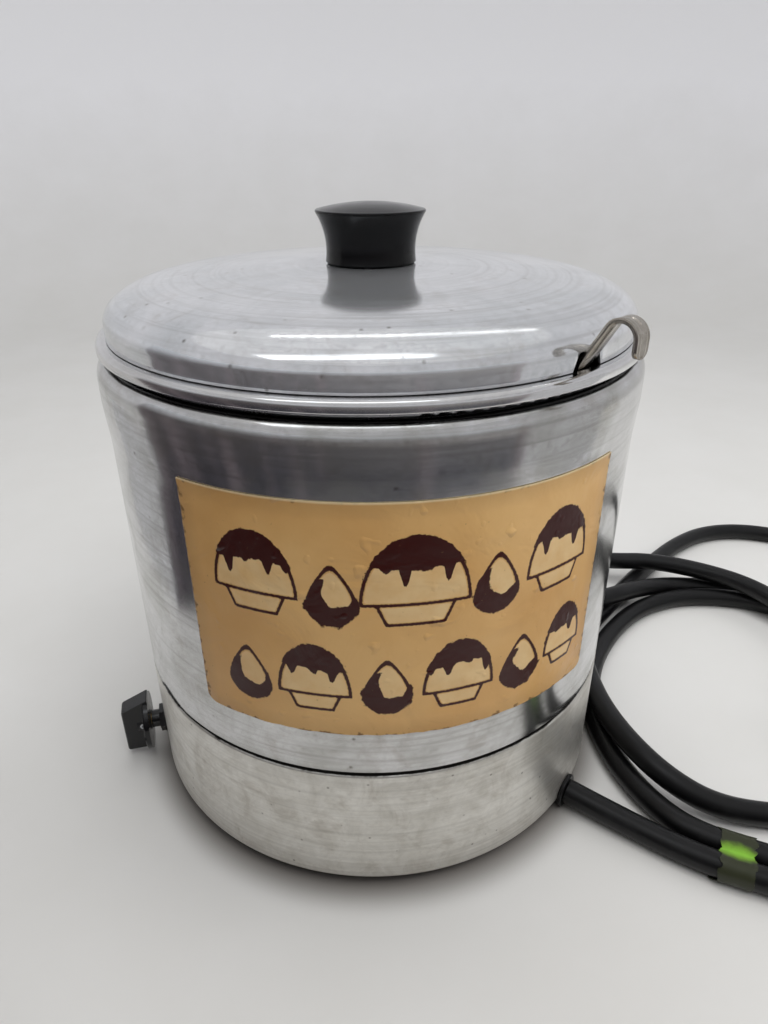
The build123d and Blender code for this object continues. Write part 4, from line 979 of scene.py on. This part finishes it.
# %% A workshop finish, and the knob's phenolic
def worked(name, colours, roughness, metallic=0.0, grain=2.0, depth=0.01, **sockets):
    """A plain workshop finish: two close colours, a roughness range and a fine bump in millimetres."""
    material, shader = new_material(name, Metallic=metallic, **sockets)
    place = add_node(material, "ShaderNodeTexCoord").outputs["Object"]
    noise = add_node(material, "ShaderNodeTexNoise", values={"Scale": 1 / (grain * MM), "Detail": 5.0,
                     "Roughness": 0.65}, links={"Vector": place})
    spread = add_node(material, "ShaderNodeMapRange", values={"From Min": 0.35, "From Max": 0.68},
                      links={"Value": noise.outputs["Fac"]})
    colour = add_node(material, "ShaderNodeMix", {"data_type": "RGBA"},
                      {6: linear(colours[0]), 7: linear(colours[1])}, {0: spread.outputs["Result"]})
    rough = add_node(material, "ShaderNodeMapRange", values={"To Min": roughness[0], "To Max": roughness[1]},
                     links={"Value": spread.outputs["Result"]})
    bump = add_node(material, "ShaderNodeBump", values={"Strength": 0.5, "Distance": depth * MM},
                    links={"Height": noise.outputs["Fac"]})
    connect(material, shader, {"Base Color": colour.outputs[2], "Roughness": rough.outputs["Result"],
                               "Normal": bump.outputs["Normal"]})
    return material


phenolic = worked("glossy_phenolic", ("#030304", "#060607"), (0.13, 0.21), grain=9, depth=0.01,
                  Specular_IOR_Level=0.22)
finish_with(lid_knob, phenolic)
report(lid_knob, "lid", ["lid_knob"])

# %% [markdown]
# ## The ladle
#
# The ladle's handle is a flat ribbed strap of stainless steel, warmer in colour than the aluminium.
# A curve with a bevel would round its section off. So the section, with its two ribs, is drawn once
# and extruded up to the bend, spun round the hook's centre and extruded on for the tail, which gets
# narrower towards its round end. The bowl is a spun cup on the handle's own axis.

# %% The ladle's places
LADLE_LEAN = math.radians(58.5)
section_out = Vector((math.cos(math.radians(NOTCH_AZIMUTH)), math.sin(math.radians(NOTCH_AZIMUTH)), 0))
section_side = Vector((0, 0, 1)).cross(section_out)
handle_up = section_out * math.cos(LADLE_LEAN) + Vector((0, 0, math.sin(LADLE_LEAN)))
handle_face = section_out * math.sin(LADLE_LEAN) - Vector((0, 0, math.cos(LADLE_LEAN)))


def in_section(radius, height):
    """A point in metres in the ladle's upright plane."""
    return (section_out * radius + Vector((0, 0, height))) * MM


TAB_END, HOOK_START = in_section(23.55, 80.20), in_section(103.83, 211.2)
HOOK_CENTRE = in_section(108.09, 208.59)
HOOK_TURN = math.radians(148.5)
TAIL_MIDDLE = in_section(113.09, 203.3)
TAIL_DROP = 5.29
STRAP_WIDTH, STRAP_THICKNESS = 6.5, 1.6

# %% The ladle's handle
half_width, half_thick = STRAP_WIDTH / 2, STRAP_THICKNESS / 2
rib_steps = 16
outer_side = []
for step in range(rib_steps + 1):
    across = half_width * (1 - 2 * step / rib_steps) * 0.94
    valley = 0.32 * math.exp(-(across / 0.75) ** 2) + 0.14 * math.exp(-((abs(across) - 2.3) / 0.3) ** 2)
    outer_side.append((across, half_thick - valley))
edge = 0.45        # the strap's edges are rounded off by about half a millimetre
strap_section = [(-half_width, -half_thick + edge), (-half_width + 0.4, -half_thick),
                 (half_width - 0.4, -half_thick), (half_width, -half_thick + edge),
                 (half_width, half_thick - edge)] + outer_side + [(-half_width, half_thick - edge)]
section_points = [TAB_END + (section_side * across - handle_face * out) * MM for across, out in strap_section]
strap = draw("ladle_strap", section_points)
bpy.ops.mesh.edge_face_add()
bpy.ops.mesh.extrude_region_move(TRANSFORM_OT_translate={"value": HOOK_START - TAB_END})
bpy.ops.mesh.spin(steps=28, angle=-HOOK_TURN, center=HOOK_CENTRE, axis=section_side)
tail_steps = 8
straight_drop = round_drop = TAIL_DROP / 2
bpy.ops.mesh.extrude_region_move(TRANSFORM_OT_translate={"value": (0, 0, -straight_drop * MM)})
narrow, reached = 1.0, 0.0
turned = Matrix((section_side, section_out, Vector((0, 0, 1)))).transposed()
for step in range(1, tail_steps + 1):
    angle = math.radians(90 * step / tail_steps)
    width = max(math.cos(angle), 0.12)
    drop = round_drop * (math.sin(angle) - reached)
    bpy.ops.mesh.extrude_region_move(TRANSFORM_OT_translate={"value": (0, 0, -drop * MM)})
    bpy.ops.transform.resize(value=(width / narrow, 1, 1), orient_type="GLOBAL", orient_matrix=turned,
                             orient_matrix_type="GLOBAL", center_override=TAIL_MIDDLE)
    narrow, reached = width, math.sin(angle)
face_outwards()
smooth(strap, 50)
ladle_steel = worked("polished_ladle_steel", ("#C2BCB3", "#A39C91"), (0.12, 0.26), metallic=1.0, grain=5,
                     depth=0.02)
finish_with(strap, ladle_steel)
report(strap, "ladle", ["ladle_handle"])

# %% The ladle's bowl
bowl_origin = in_section(9.62, 99.29)
BOWL_RADIUS, BOWL_WALL, BOWL_ROUND = 21, 9, 14      # a straight wall above, an oval floor below
bowl_outline = divided((BOWL_RADIUS, 0), (BOWL_RADIUS, -BOWL_WALL), 4)
bowl_outline += ellipse_arc((0, -BOWL_WALL), (BOWL_RADIUS, BOWL_ROUND), 0, -90, 20)
bowl = spin_piece("ladle_cup", bowl_outline, origin=bowl_origin, out=handle_face, axis=handle_up, steps=96)
apply_modifier(bowl, "SOLIDIFY", thickness=1.2 * MM, offset=-1, use_even_offset=True)
bevelled(bowl, 0.4, 3)
smooth(bowl)
finish_with(bowl, ladle_steel)
report(bowl, "ladle", ["ladle_bowl"])

# %% [markdown]
# ## The label
#
# The label is a printed film, 152 mm by 88 mm, that has been on the shell for decades. It could be a
# flat sheet wrapped on with a modifier, but a part turn of the spin gives the same sheet with its
# grid of points in line with the print. It follows the shell's flare and, at the end, its dents.

# %% The label's sheet
LABEL_LOW, LABEL_HIGH = 79.8, 168.2
LABEL_FIRST, LABEL_LAST = -132.9, -47.1       # azimuths in degrees
LABEL_THICKNESS = 0.25
LABEL_GAP = 0.05
LABEL_WIDTH = 152.2                           # along the curve
LABEL_CELLS = (200, 116)                      # round and up

film_radius = SHELL_RADIUS + LABEL_GAP + LABEL_THICKNESS
label_rise = FLARE * (LABEL_HIGH - FLARE_LOW) / (FLARE_HIGH - FLARE_LOW)
label_runs = rounded([(film_radius, LABEL_LOW), (film_radius, FLARE_LOW),
                      (film_radius + label_rise, LABEL_HIGH)], [40], 3)
film_outline = divided(label_runs[0], label_runs[1], LABEL_CELLS[1]) + label_runs[1:-1]
film_outline += divided(label_runs[-2], label_runs[-1], 4)[1:] + [label_runs[-1]]
first_direction = on_shell(1, LABEL_LAST, 0) / MM       # spin turns clockwise, seen from above
film = spin_piece("label_film", film_outline, out=first_direction, steps=LABEL_CELLS[0],
                  turn=math.radians(LABEL_LAST - LABEL_FIRST))
corners = [[round(c / MM) for c in film.bound_box[corner]] for corner in (0, 6)]
print("label from", corners[0], "to", corners[1], "mm")

# %% [markdown]
# The sheet is cut to shape with a prism, as a die would do it, whose outline wanders by a few tenths
# of a millimetre and whose lower corners are more worn than the upper ones.

# %% Trim the label's edge
rng = np.random.default_rng(11)
half_chord = film_radius * math.sin(math.radians((LABEL_LAST - LABEL_FIRST) / 2)) - 0.15
trim_low, trim_high = LABEL_LOW + 0.4, LABEL_HIGH - 0.2
TRIM_STEP = 2.4
CUTTER_PLACE = -60        # the cutter stands inside the shell and reaches out through the label
trim = rounded([(0, trim_high), (-half_chord, trim_high), (-half_chord, trim_low), (half_chord, trim_low),
                (half_chord, trim_high), (0, trim_high)], [0.6, 3.6, 2.8, 0.6], 6)
trim_points = []
for start, end in zip(trim, trim[1:]):
    trim_points += divided(start, end, max(1, round((Vector(end) - Vector(start)).length / TRIM_STEP)))
uneven = [Vector((x, CUTTER_PLACE, z)) for x, z in trim_points]
for point in uneven:
    if abs(point.x) < half_chord - 4 and point.z < 100:
        point.z += rng.uniform(-0.05, 0.35)
    if abs(point.x) > half_chord - 0.3:
        point.x *= 1 - rng.uniform(0, 0.0022)
trimmer = prism("label_trimmer", [p * MM for p in uneven], Vector((0, CUTTER_PLACE, 0)) * MM)
apply_modifier(film, "SOLIDIFY", thickness=LABEL_THICKNESS * MM, offset=-1, use_even_offset=True)
apply_modifier(film, "BOOLEAN", object=trimmer, operation="INTERSECT", solver="EXACT")
bpy.data.objects.remove(trimmer)
print("trimmed label:", len(film.data.vertices), "points")

# %% [markdown]
# The print is generic: domes with dripping tops, and drops between them. It could be an image, but an
# image blurs close up. So each motif is a formula for the distance to its outline in millimetres,
# with u along the label and v up it, and the distances are stored on the mesh's points. The material
# then turns them into ink, and the lines stay sharp at any distance.

# %% Distances on the print
place = np.zeros(len(film.data.vertices) * 3)
film.data.vertices.foreach_get("co", place)
place = place.reshape(-1, 3) / MM
azimuth = np.degrees(np.arctan2(place[:, 1], place[:, 0]))
u = (azimuth - LABEL_FIRST) / (LABEL_LAST - LABEL_FIRST) * LABEL_WIDTH
v = place[:, 2] - LABEL_LOW


def oval(centre, half_axes):
    """Distance outside an oval, negative inside."""
    du, dv = (u - centre[0]) / half_axes[0], (v - centre[1]) / half_axes[1]
    return (np.sqrt(du ** 2 + dv ** 2) - 1) * min(half_axes)


def drips(seed, height, depth):
    """The height of a dripping lower edge along u."""
    sway = np.random.default_rng(seed).uniform(0, 6.28, 3)
    long_drips = np.clip(np.sin(u / 1.05 + sway[0]), 0, 1) ** 0.6 * (0.55 + 0.45 * np.sin(u / 2.3 + sway[1]))
    return height - depth * long_drips + 0.7 * np.sin(u / 4.1 + sway[2])


print("label grid:", len(u), "points, u up to", round(float(u.max()), 1), "mm")

# %% [markdown]
# A dome is half an oval on a tapered foot, and the sauce is the same dome cut off by a dripping edge,
# a sum of sines. A drop is an oval that narrows upwards, with a dark crescent where a smaller, shifted
# oval leaves it uncovered. The smaller of two distances joins two shapes, and the larger one cuts them.

# %% Domes and drops
def dome(centre_u, base, half_width, height, seed):
    """A domed scoop with a rounded foot, and the sauce that drips over it."""
    body = np.maximum(oval((centre_u, base), (half_width, height)), base - v)
    foot_half, foot_low = half_width * 0.72, base - height * 0.32
    slant = (base - v) * 0.42
    foot = np.maximum(np.abs(u - centre_u) - foot_half + slant, np.maximum(foot_low - v, v - base))
    line = np.minimum(np.maximum(body, -foot), foot)
    sauce = np.maximum(body - 0.9, (drips(seed, base + height * 0.55, height * 0.26) - v) * 0.75)
    return line, sauce


def drop(centre_u, centre_v, size, seed):
    """A hanging drop with a pointed top, and the dark crescent along its lower side."""
    dv = v - centre_v
    taper = np.clip(1 - 0.5 * dv / (1.5 * size), 0.12, 1.25)
    reach = np.sqrt(((u - centre_u) / (size * taper)) ** 2 + (dv / (1.5 * size)) ** 2)
    line = (reach - 1) * size * 0.8
    inner_u, inner_v = (u - centre_u - 0.28 * size) / (0.72 * size), (dv - 0.3 * size) / (0.95 * size)
    inner = np.sqrt(inner_u ** 2 + inner_v ** 2)
    shade = np.maximum(line - 0.4, (1 - inner) * size * 0.72)
    wobble = 0.35 * np.sin(u / 0.9 + seed) + 0.25 * np.sin(v / 1.3 + seed)
    return line, np.maximum(shade + wobble, dv - 0.9 * size)


motifs = [dome(26, 54, 14, 21, 1), drop(51, 56, 6.8, 2), dome(77, 53, 17, 23, 3), drop(103.5, 56, 6.8, 4),
          dome(128.5, 54, 13.5, 21, 5), drop(21, 21, 6.8, 6), dome(44, 17, 12, 19, 7), drop(68, 21, 6.8, 8),
          dome(92, 17, 12, 19, 9), drop(115.5, 21, 6.8, 10), dome(136, 18, 9.5, 17, 11)]
shape = np.minimum.reduce([line for line, _ in motifs])
ink = np.minimum.reduce([sauce for _, sauce in motifs])
top = LABEL_HIGH - LABEL_LOW - v
edge = np.minimum.reduce([u, LABEL_WIDTH - u, v, top + 0.7])      # the top edge stays cleaner
for name, values in (("shape", shape), ("ink", ink), ("edge", edge), ("top", top)):
    attribute = film.data.attributes.new(name, "FLOAT", "POINT")
    attribute.data.foreach_set("value", values.astype(np.float32))
print("print:", len(motifs), "motifs on", len(film.data.vertices), "points")

# %% [markdown]
# The film is a printed vinyl with a thin clear coat, which gives it a soft gloss over the colour. It
# has yellowed to gold and has gone dull brown along its edges, and the pale fill inside the outlines
# was printed thinly. First come the noises, each with its grain in millimetres, and their limits.

# %% The label's noises and limits
film_finish, shader = new_material("printed_gold_film", Specular_IOR_Level=0.25, Coat_Weight=0.2,
                                   Coat_Roughness=0.15)
place = add_node(film_finish, "ShaderNodeTexCoord").outputs["Object"]
drawn = {name: add_node(film_finish, "ShaderNodeAttribute", {"attribute_name": name}).outputs["Fac"]
         for name in ("shape", "ink", "edge", "top")}
FILM_NOISES = {        # grain in millimetres, detail and distortion
    "line wobble": (0.9, 4.0, 0.0), "drip wobble": (1.6, 4.0, 0.0), "yellowing": (45, 5.0, 0.0),
    "thin fill": (7, 4.0, 0.0), "edge wobble": (3.0, 6.0, 0.0), "specks": (1.3, 3.0, 0.0),
    "wrinkles": (26, 3.0, 1.4), "bubbles": (5.5, 1.0, 0.0), "puckers": (6, 2.0, 0.8),
    "dullness": (14, 5.0, 0.0),
}
for name, (grain, detail, distortion) in FILM_NOISES.items():
    noise = add_node(film_finish, "ShaderNodeTexNoise", links={"Vector": place},
                     values={"Scale": 1 / (grain * MM), "Detail": detail, "Distortion": distortion})
    drawn[name] = noise.outputs["Fac"]
LINE_HALF_WIDTH, LINE_BLUR = 0.55, 0.12
FILM_LIMITS = {        # what it maps, from two limits, to two shares
    "wobbled": ("line wobble", 0.3, 0.7, -0.12, 0.12), "dripped": ("drip wobble", 0.3, 0.7, -0.25, 0.25),
    "yellowed": ("yellowing", 0.35, 0.65, 0.0, 1.0), "filled": ("thin fill", 0.3, 0.7, 0.35, 0.85),
    "frayed": ("edge wobble", 0.3, 0.7, -1.6, 1.4), "speckled": ("specks", 0.72, 0.78, 0.0, 0.6),
    "bubbled": ("bubbles", 0.66, 0.8, 0.0, 0.35), "dulled": ("dullness", 0.35, 0.7, 0.30, 0.46),
    "inside": ("shape", -1.0, -0.8, 1.0, 0.0), "browned": ("edge", 0.0, 7.0, 0.22, 0.0),
    # The cream line along the label's top edge is a painted highlight.
    "painted top highlight": ("top", 0.5, 1.1, 0.8, 0.0),
    "line ink": ("line distance", LINE_HALF_WIDTH - LINE_BLUR, LINE_HALF_WIDTH + LINE_BLUR, 1.0, 0.0),
    "sauce ink": ("sauce distance", -0.1, 0.14, 1.0, 0.0),
    "grime": ("grime distance", 0.1, 0.9, 0.85, 0.0),
}
print("label:", len(FILM_NOISES), "noises and", len(FILM_LIMITS), "limits")

# %% [markdown]
# Some values are sums of others: where ink and dirt lie, and the relief of wrinkles, puckers, bubbles
# and raised ink. A small function looks a name up in the lists and makes its node on first use.

# %% The label's sums
FILM_SUMS = {          # an operation on two of them, or on one and a number
    "unsigned": ("ABSOLUTE", "shape", 0.0), "line distance": ("ADD", "unsigned", "wobbled"),
    "sauce distance": ("ADD", "ink", "dripped"), "grime distance": ("ADD", "edge", "frayed"),
    "all ink": ("MAXIMUM", "line ink", "sauce ink"), "fill": ("MULTIPLY", "inside", "filled"),
    "dirt": ("MAXIMUM", "grime", "browned"), "low puckers": ("MULTIPLY", "puckers", 0.12),
    "waves": ("ADD", "wrinkles", "low puckers"), "lumps": ("ADD", "waves", "bubbled"),
    "raised ink": ("MULTIPLY", "all ink", 0.012), "relief": ("ADD", "lumps", "raised ink"),
}


def made_from(name):
    """The output of a noise, a limit or a sum, made when it is first needed."""
    if name not in drawn and name in FILM_LIMITS:
        source, low, high, first, last = FILM_LIMITS[name]
        limited = add_node(film_finish, "ShaderNodeMapRange", links={"Value": made_from(source)},
                           values={"From Min": low, "From Max": high, "To Min": first, "To Max": last})
        drawn[name] = limited.outputs["Result"]
    elif name not in drawn:
        operation, one, two = FILM_SUMS[name]
        fixed = {1: two} if isinstance(two, float) else {}
        joined = {0: made_from(one)} if fixed else {0: made_from(one), 1: made_from(two)}
        total = add_node(film_finish, "ShaderNodeMath", {"operation": operation}, fixed, joined)
        drawn[name] = total.outputs["Value"]
    return drawn[name]


print("label:", len(FILM_SUMS), "sums")

# %% [markdown]
# The colours are laid on in layers: gold film, pale fill, brown ink, dirt at the edges, a cream line
# along the top edge that is a painted highlight, and last a few specks.

# %% The label's layers
colour = add_node(film_finish, "ShaderNodeMix", {"data_type": "RGBA"},
                  {6: linear("#E7BB7B"), 7: linear("#D6A565")}, {0: made_from("yellowed")})
for layer, over in (("fill", "#F0D19C"), ("all ink", "#3A0F0A"), ("dirt", "#6B4A26"), ("painted top highlight", "#F2DDB0"),
                    ("speckled", "#7A5A38")):
    colour = add_node(film_finish, "ShaderNodeMix", {"data_type": "RGBA"}, {7: linear(over)},
                      {0: made_from(layer), 6: colour.outputs[2]})
bump = add_node(film_finish, "ShaderNodeBump", values={"Strength": 0.9, "Distance": 0.9 * MM},
                links={"Height": made_from("relief")})
connect(film_finish, shader, {"Base Color": colour.outputs[2], "Roughness": made_from("dulled"),
                              "Normal": bump.outputs["Normal"], "Coat Normal": bump.outputs["Normal"]})
dented(film, 0.12)
smooth(film, 50)
finish_with(film, film_finish)
report(film, "warmer_body", ["label"])

# %% [markdown]
# ## The tape
#
# A torn strip of thin green tape holds two strands together where they leave the warmer. It is a
# sleeve round both, drawn as a rounded slot and extruded along them, and its two torn ends are
# uneven. The film is translucent: over the black rubber it is dark, and between the strands it is
# painted bright, as painted light coming through it. How far a point is from the rubber is stored on
# the mesh.

# %% Where the tape is
first_start, first_end, second_start, second_end = [Vector(p) for p in CORD_ROUTE if p[2] == TAPED_HEIGHT]
tape_along = (first_end - first_start).normalized()
middle_one = first_start.lerp(first_end, 0.25)
middle_two = second_start.lerp(second_end, 0.36)
tape_across = middle_two - middle_one
tape_across -= tape_along * tape_across.dot(tape_along)
tape_middle = (middle_one + middle_two) / 2
half_gap = tape_across.length / 2
tape_across.normalize()
tape_up = tape_along.cross(tape_across)
if tape_up.z < 0:
    tape_up = -tape_up
print("the taped strands are", round(2 * half_gap, 1), "mm apart")

# %% The tape's sleeve
TAPE_RADIUS = 5.5
TAPE_LENGTH = 13.5
TAPE_ROWS = 14
slot_points = []
for side, first in ((half_gap, -90), (-half_gap, 90)):
    arc = ellipse_arc((side, 0), (TAPE_RADIUS, TAPE_RADIUS), first, first + 180, 24)
    slot_points += arc[:-1] + divided(arc[-1], (-arc[-1][0], arc[-1][1]), 12)
tape_start = tape_middle - tape_along * TAPE_LENGTH / 2
tape_ring = [(tape_start + tape_across * a + tape_up * b) * MM for a, b in slot_points]
tape = draw("torn_tape", tape_ring + [tape_ring[0]])
bpy.ops.mesh.remove_doubles(threshold=MERGE_DISTANCE)
tape_row = tape_along * TAPE_LENGTH / TAPE_ROWS * MM
for row in range(TAPE_ROWS):
    bpy.ops.mesh.extrude_region_move(TRANSFORM_OT_translate={"value": tape_row})
face_outwards()
print("sleeve:", len(tape.data.polygons), "faces")

# %% [markdown]
# The two torn ends reach out unevenly, by amounts drawn for each direction round the sleeve and then
# evened with their neighbours. Between the strands the film sags a little from above and below.

# %% Tear and crumple the tape
TAPE_SHEET = 0.16
TORN_STEPS = 64          # the torn ends' reach is drawn once for each of these directions
torn = np.random.default_rng(5).normal(0, 1, TORN_STEPS)
torn = np.convolve(np.tile(torn, 3), [0.25, 0.5, 0.25], "same")[TORN_STEPS:2 * TORN_STEPS]
for vertex in tape.data.vertices:
    offset = vertex.co / MM - tape_middle
    along, across, up = offset.dot(tape_along), offset.dot(tape_across), offset.dot(tape_up)
    step = int(round(math.atan2(up, across) / FULL_TURN * TORN_STEPS)) % TORN_STEPS
    share = 2 * along / TAPE_LENGTH
    reach = 0.9 * torn[step] if share > 0 else 1.4 * torn[(step + 20) % TORN_STEPS]
    sag = max(0.0, 1 - abs(across) / half_gap) * (1.6 if up > 0 else 1.2)
    vertex.co -= tape_up * math.copysign(sag, up) * MM
    vertex.co += tape_along * share * abs(share) * reach * MM
apply_modifier(tape, "SOLIDIFY", thickness=TAPE_SHEET * MM, offset=1, use_even_offset=True)
wrinkle = bpy.data.textures.new("tape_wrinkle", "CLOUDS")
wrinkle.noise_scale = 4 * MM
apply_modifier(tape, "DISPLACE", texture=wrinkle, texture_coords="LOCAL", strength=0.4 * MM, mid_level=0.4)
smooth(tape, 60)
bridging = []
for vertex in tape.data.vertices:
    offset = vertex.co / MM - tape_middle
    over_gap = 1.25 - abs(offset.dot(tape_across) + 0.8) / half_gap * 1.05
    bridging.append(over_gap - 0.25 * abs(2 * offset.dot(tape_along) / TAPE_LENGTH) ** 3)
attribute = tape.data.attributes.new("bridging", "FLOAT", "POINT")
attribute.data.foreach_set("value", bridging)
print(f"tape: {len(bridging)} points, bridging from {min(bridging):.2f} to {max(bridging):.2f}")

# %% [markdown]
# The tape is a thin cast film with a soft gloss. Its colour goes by the stored distance from the
# rubber: dark over the rubber, and a painted brighter green between the strands, as painted light
# coming through the film. A noise of a few millimetres makes the dark patches ragged, as where it
# clings.

# %% The tape's material
tape_finish, shader = new_material("translucent_green_tape", Specular_IOR_Level=0.35)
place = add_node(tape_finish, "ShaderNodeTexCoord").outputs["Object"]
over_gap = add_node(tape_finish, "ShaderNodeAttribute", {"attribute_name": "bridging"}).outputs["Fac"]
crumpled = add_node(tape_finish, "ShaderNodeTexNoise", values={"Scale": 1 / (3.5 * MM), "Detail": 4.0},
                    links={"Vector": place})
uneven = add_node(tape_finish, "ShaderNodeMath", {"operation": "MULTIPLY_ADD"}, {1: 0.5},
                  {0: crumpled.outputs["Fac"], 2: over_gap})
loose = add_node(tape_finish, "ShaderNodeMapRange", values={"From Min": 0.62, "From Max": 0.98},
                 links={"Value": uneven.outputs["Value"]})
# Painted light: the green grows brighter over the gap between the strands.
painted_through_light = add_node(tape_finish, "ShaderNodeMapRange", values={"From Min": 0.9, "From Max": 1.4},
               links={"Value": uneven.outputs["Value"]})
bright = add_node(tape_finish, "ShaderNodeMix", {"data_type": "RGBA"},
                  {6: linear("#5C7D22"), 7: linear("#7DB435")}, {0: painted_through_light.outputs["Result"]})
colour = add_node(tape_finish, "ShaderNodeMix", {"data_type": "RGBA"}, {6: linear("#2E3120")},
                  {0: loose.outputs["Result"], 7: bright.outputs[2]})
dullness = add_node(tape_finish, "ShaderNodeMapRange", values={"To Min": 0.30, "To Max": 0.50},
                    links={"Value": crumpled.outputs["Fac"]})
bump = add_node(tape_finish, "ShaderNodeBump", values={"Strength": 0.5, "Distance": 0.12 * MM},
                links={"Height": crumpled.outputs["Fac"]})
connect(tape_finish, shader, {"Base Color": colour.outputs[2], "Roughness": dullness.outputs["Result"],
                              "Normal": bump.outputs["Normal"]})
finish_with(tape, tape_finish)
report(tape, "warmer_body", ["tape_wrap"])

# %% [markdown]
# ## Hardware and inner parts
#
# The small parts keep the frame's own shapes, which are already as made, and get their real
# finishes. Zinc plate is a bright bluish grey metal, brighter on screws than on sheet. The dial is a
# glossy black moulding, its washer and nut are blackened and duller, and brass, nickel and aluminium
# differ mostly in colour. Glass fibre has no gloss at all, and wire has a soft jacket. One table gives
# each finish its numbers and its nodes.

# %% Finishes of the frame's own parts
FINISHES = {       # two colours, roughness, metallic, grain and its depth in millimetres, and the nodes
    "moulded_dial_black": (("#060607", "#0E0E10"), (0.12, 0.26), 0.0, 6, 0.03,
                           ["thermostat_knob", "thermostat_bushing"]),
    "blackened_steel": (("#0F0F10", "#1C1C1E"), (0.24, 0.40), 0.0, 3, 0.01,
                        ["thermostat_washer", "thermostat_nut", "knob_insert"]),
    "bright_zinc_plate": (("#C9CBCE", "#B4B6BA"), (0.20, 0.34), 1.0, 3, 0.01,
                          ["heater_studs", "heater_nuts", "knob_set_screw", "bottom_screws", "foot_screws",
                           "foot_nuts", "clamp_screws", "ground_screw", "knob_washer", "knob_screw",
                           "ladle_rivets"]),
    "zinc_plated_sheet": (("#B9BCBF", "#9EA1A5"), (0.32, 0.48), 1.0, 11, 0.02,
                          ["heater_plate", "bottom_plate", "cord_clamp"]),
    "drawn_aluminium": (("#DADBDE", "#C4C6CA"), (0.22, 0.36), 1.0, 14, 0.02, ["well"]),
    "turned_brass": (("#C9A868", "#A98A4C"), (0.20, 0.34), 1.0, 2, 0.01, ["thermostat_shaft"]),
    "nickel_plated_blades": (("#C9C2AE", "#B3AC98"), (0.18, 0.30), 1.0, 3, 0.01, ["plug_prongs"]),
    "mica_and_foil": (("#8E7D63", "#A6977C"), (0.35, 0.55), 0.0, 5, 0.05, ["heater_disc"]),
    "glass_fibre_wrap": (("#DAD7CC", "#BDB9AB"), (0.75, 0.92), 0.0, 1.6, 0.3, ["insulation_wrap"]),
    "brown_moulded_case": (("#4A3222", "#5B4030"), (0.22, 0.36), 0.0, 6, 0.02, ["thermostat_body"]),
    "black_wire_jacket": (("#1A1A1B", "#242425"), (0.40, 0.55), 0.0, 2, 0.02, ["lead_line", "lead_heater"]),
    "white_wire_jacket": (("#D8D6D0", "#C6C3BB"), (0.40, 0.55), 0.0, 2, 0.02, ["lead_neutral"]),
    "green_wire_jacket": (("#1F6B33", "#2B7A3E"), (0.40, 0.55), 0.0, 2, 0.02, ["lead_ground"]),
}
for name, (colours, roughness, metallic, grain, depth, nodes) in FINISHES.items():
    finish = worked(name, colours, roughness, metallic=metallic, grain=grain, depth=depth)
    for node in nodes:
        finish_with(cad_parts[node], finish)
print("finished nodes:", sum(len(values[-1]) for values in FINISHES.values()))
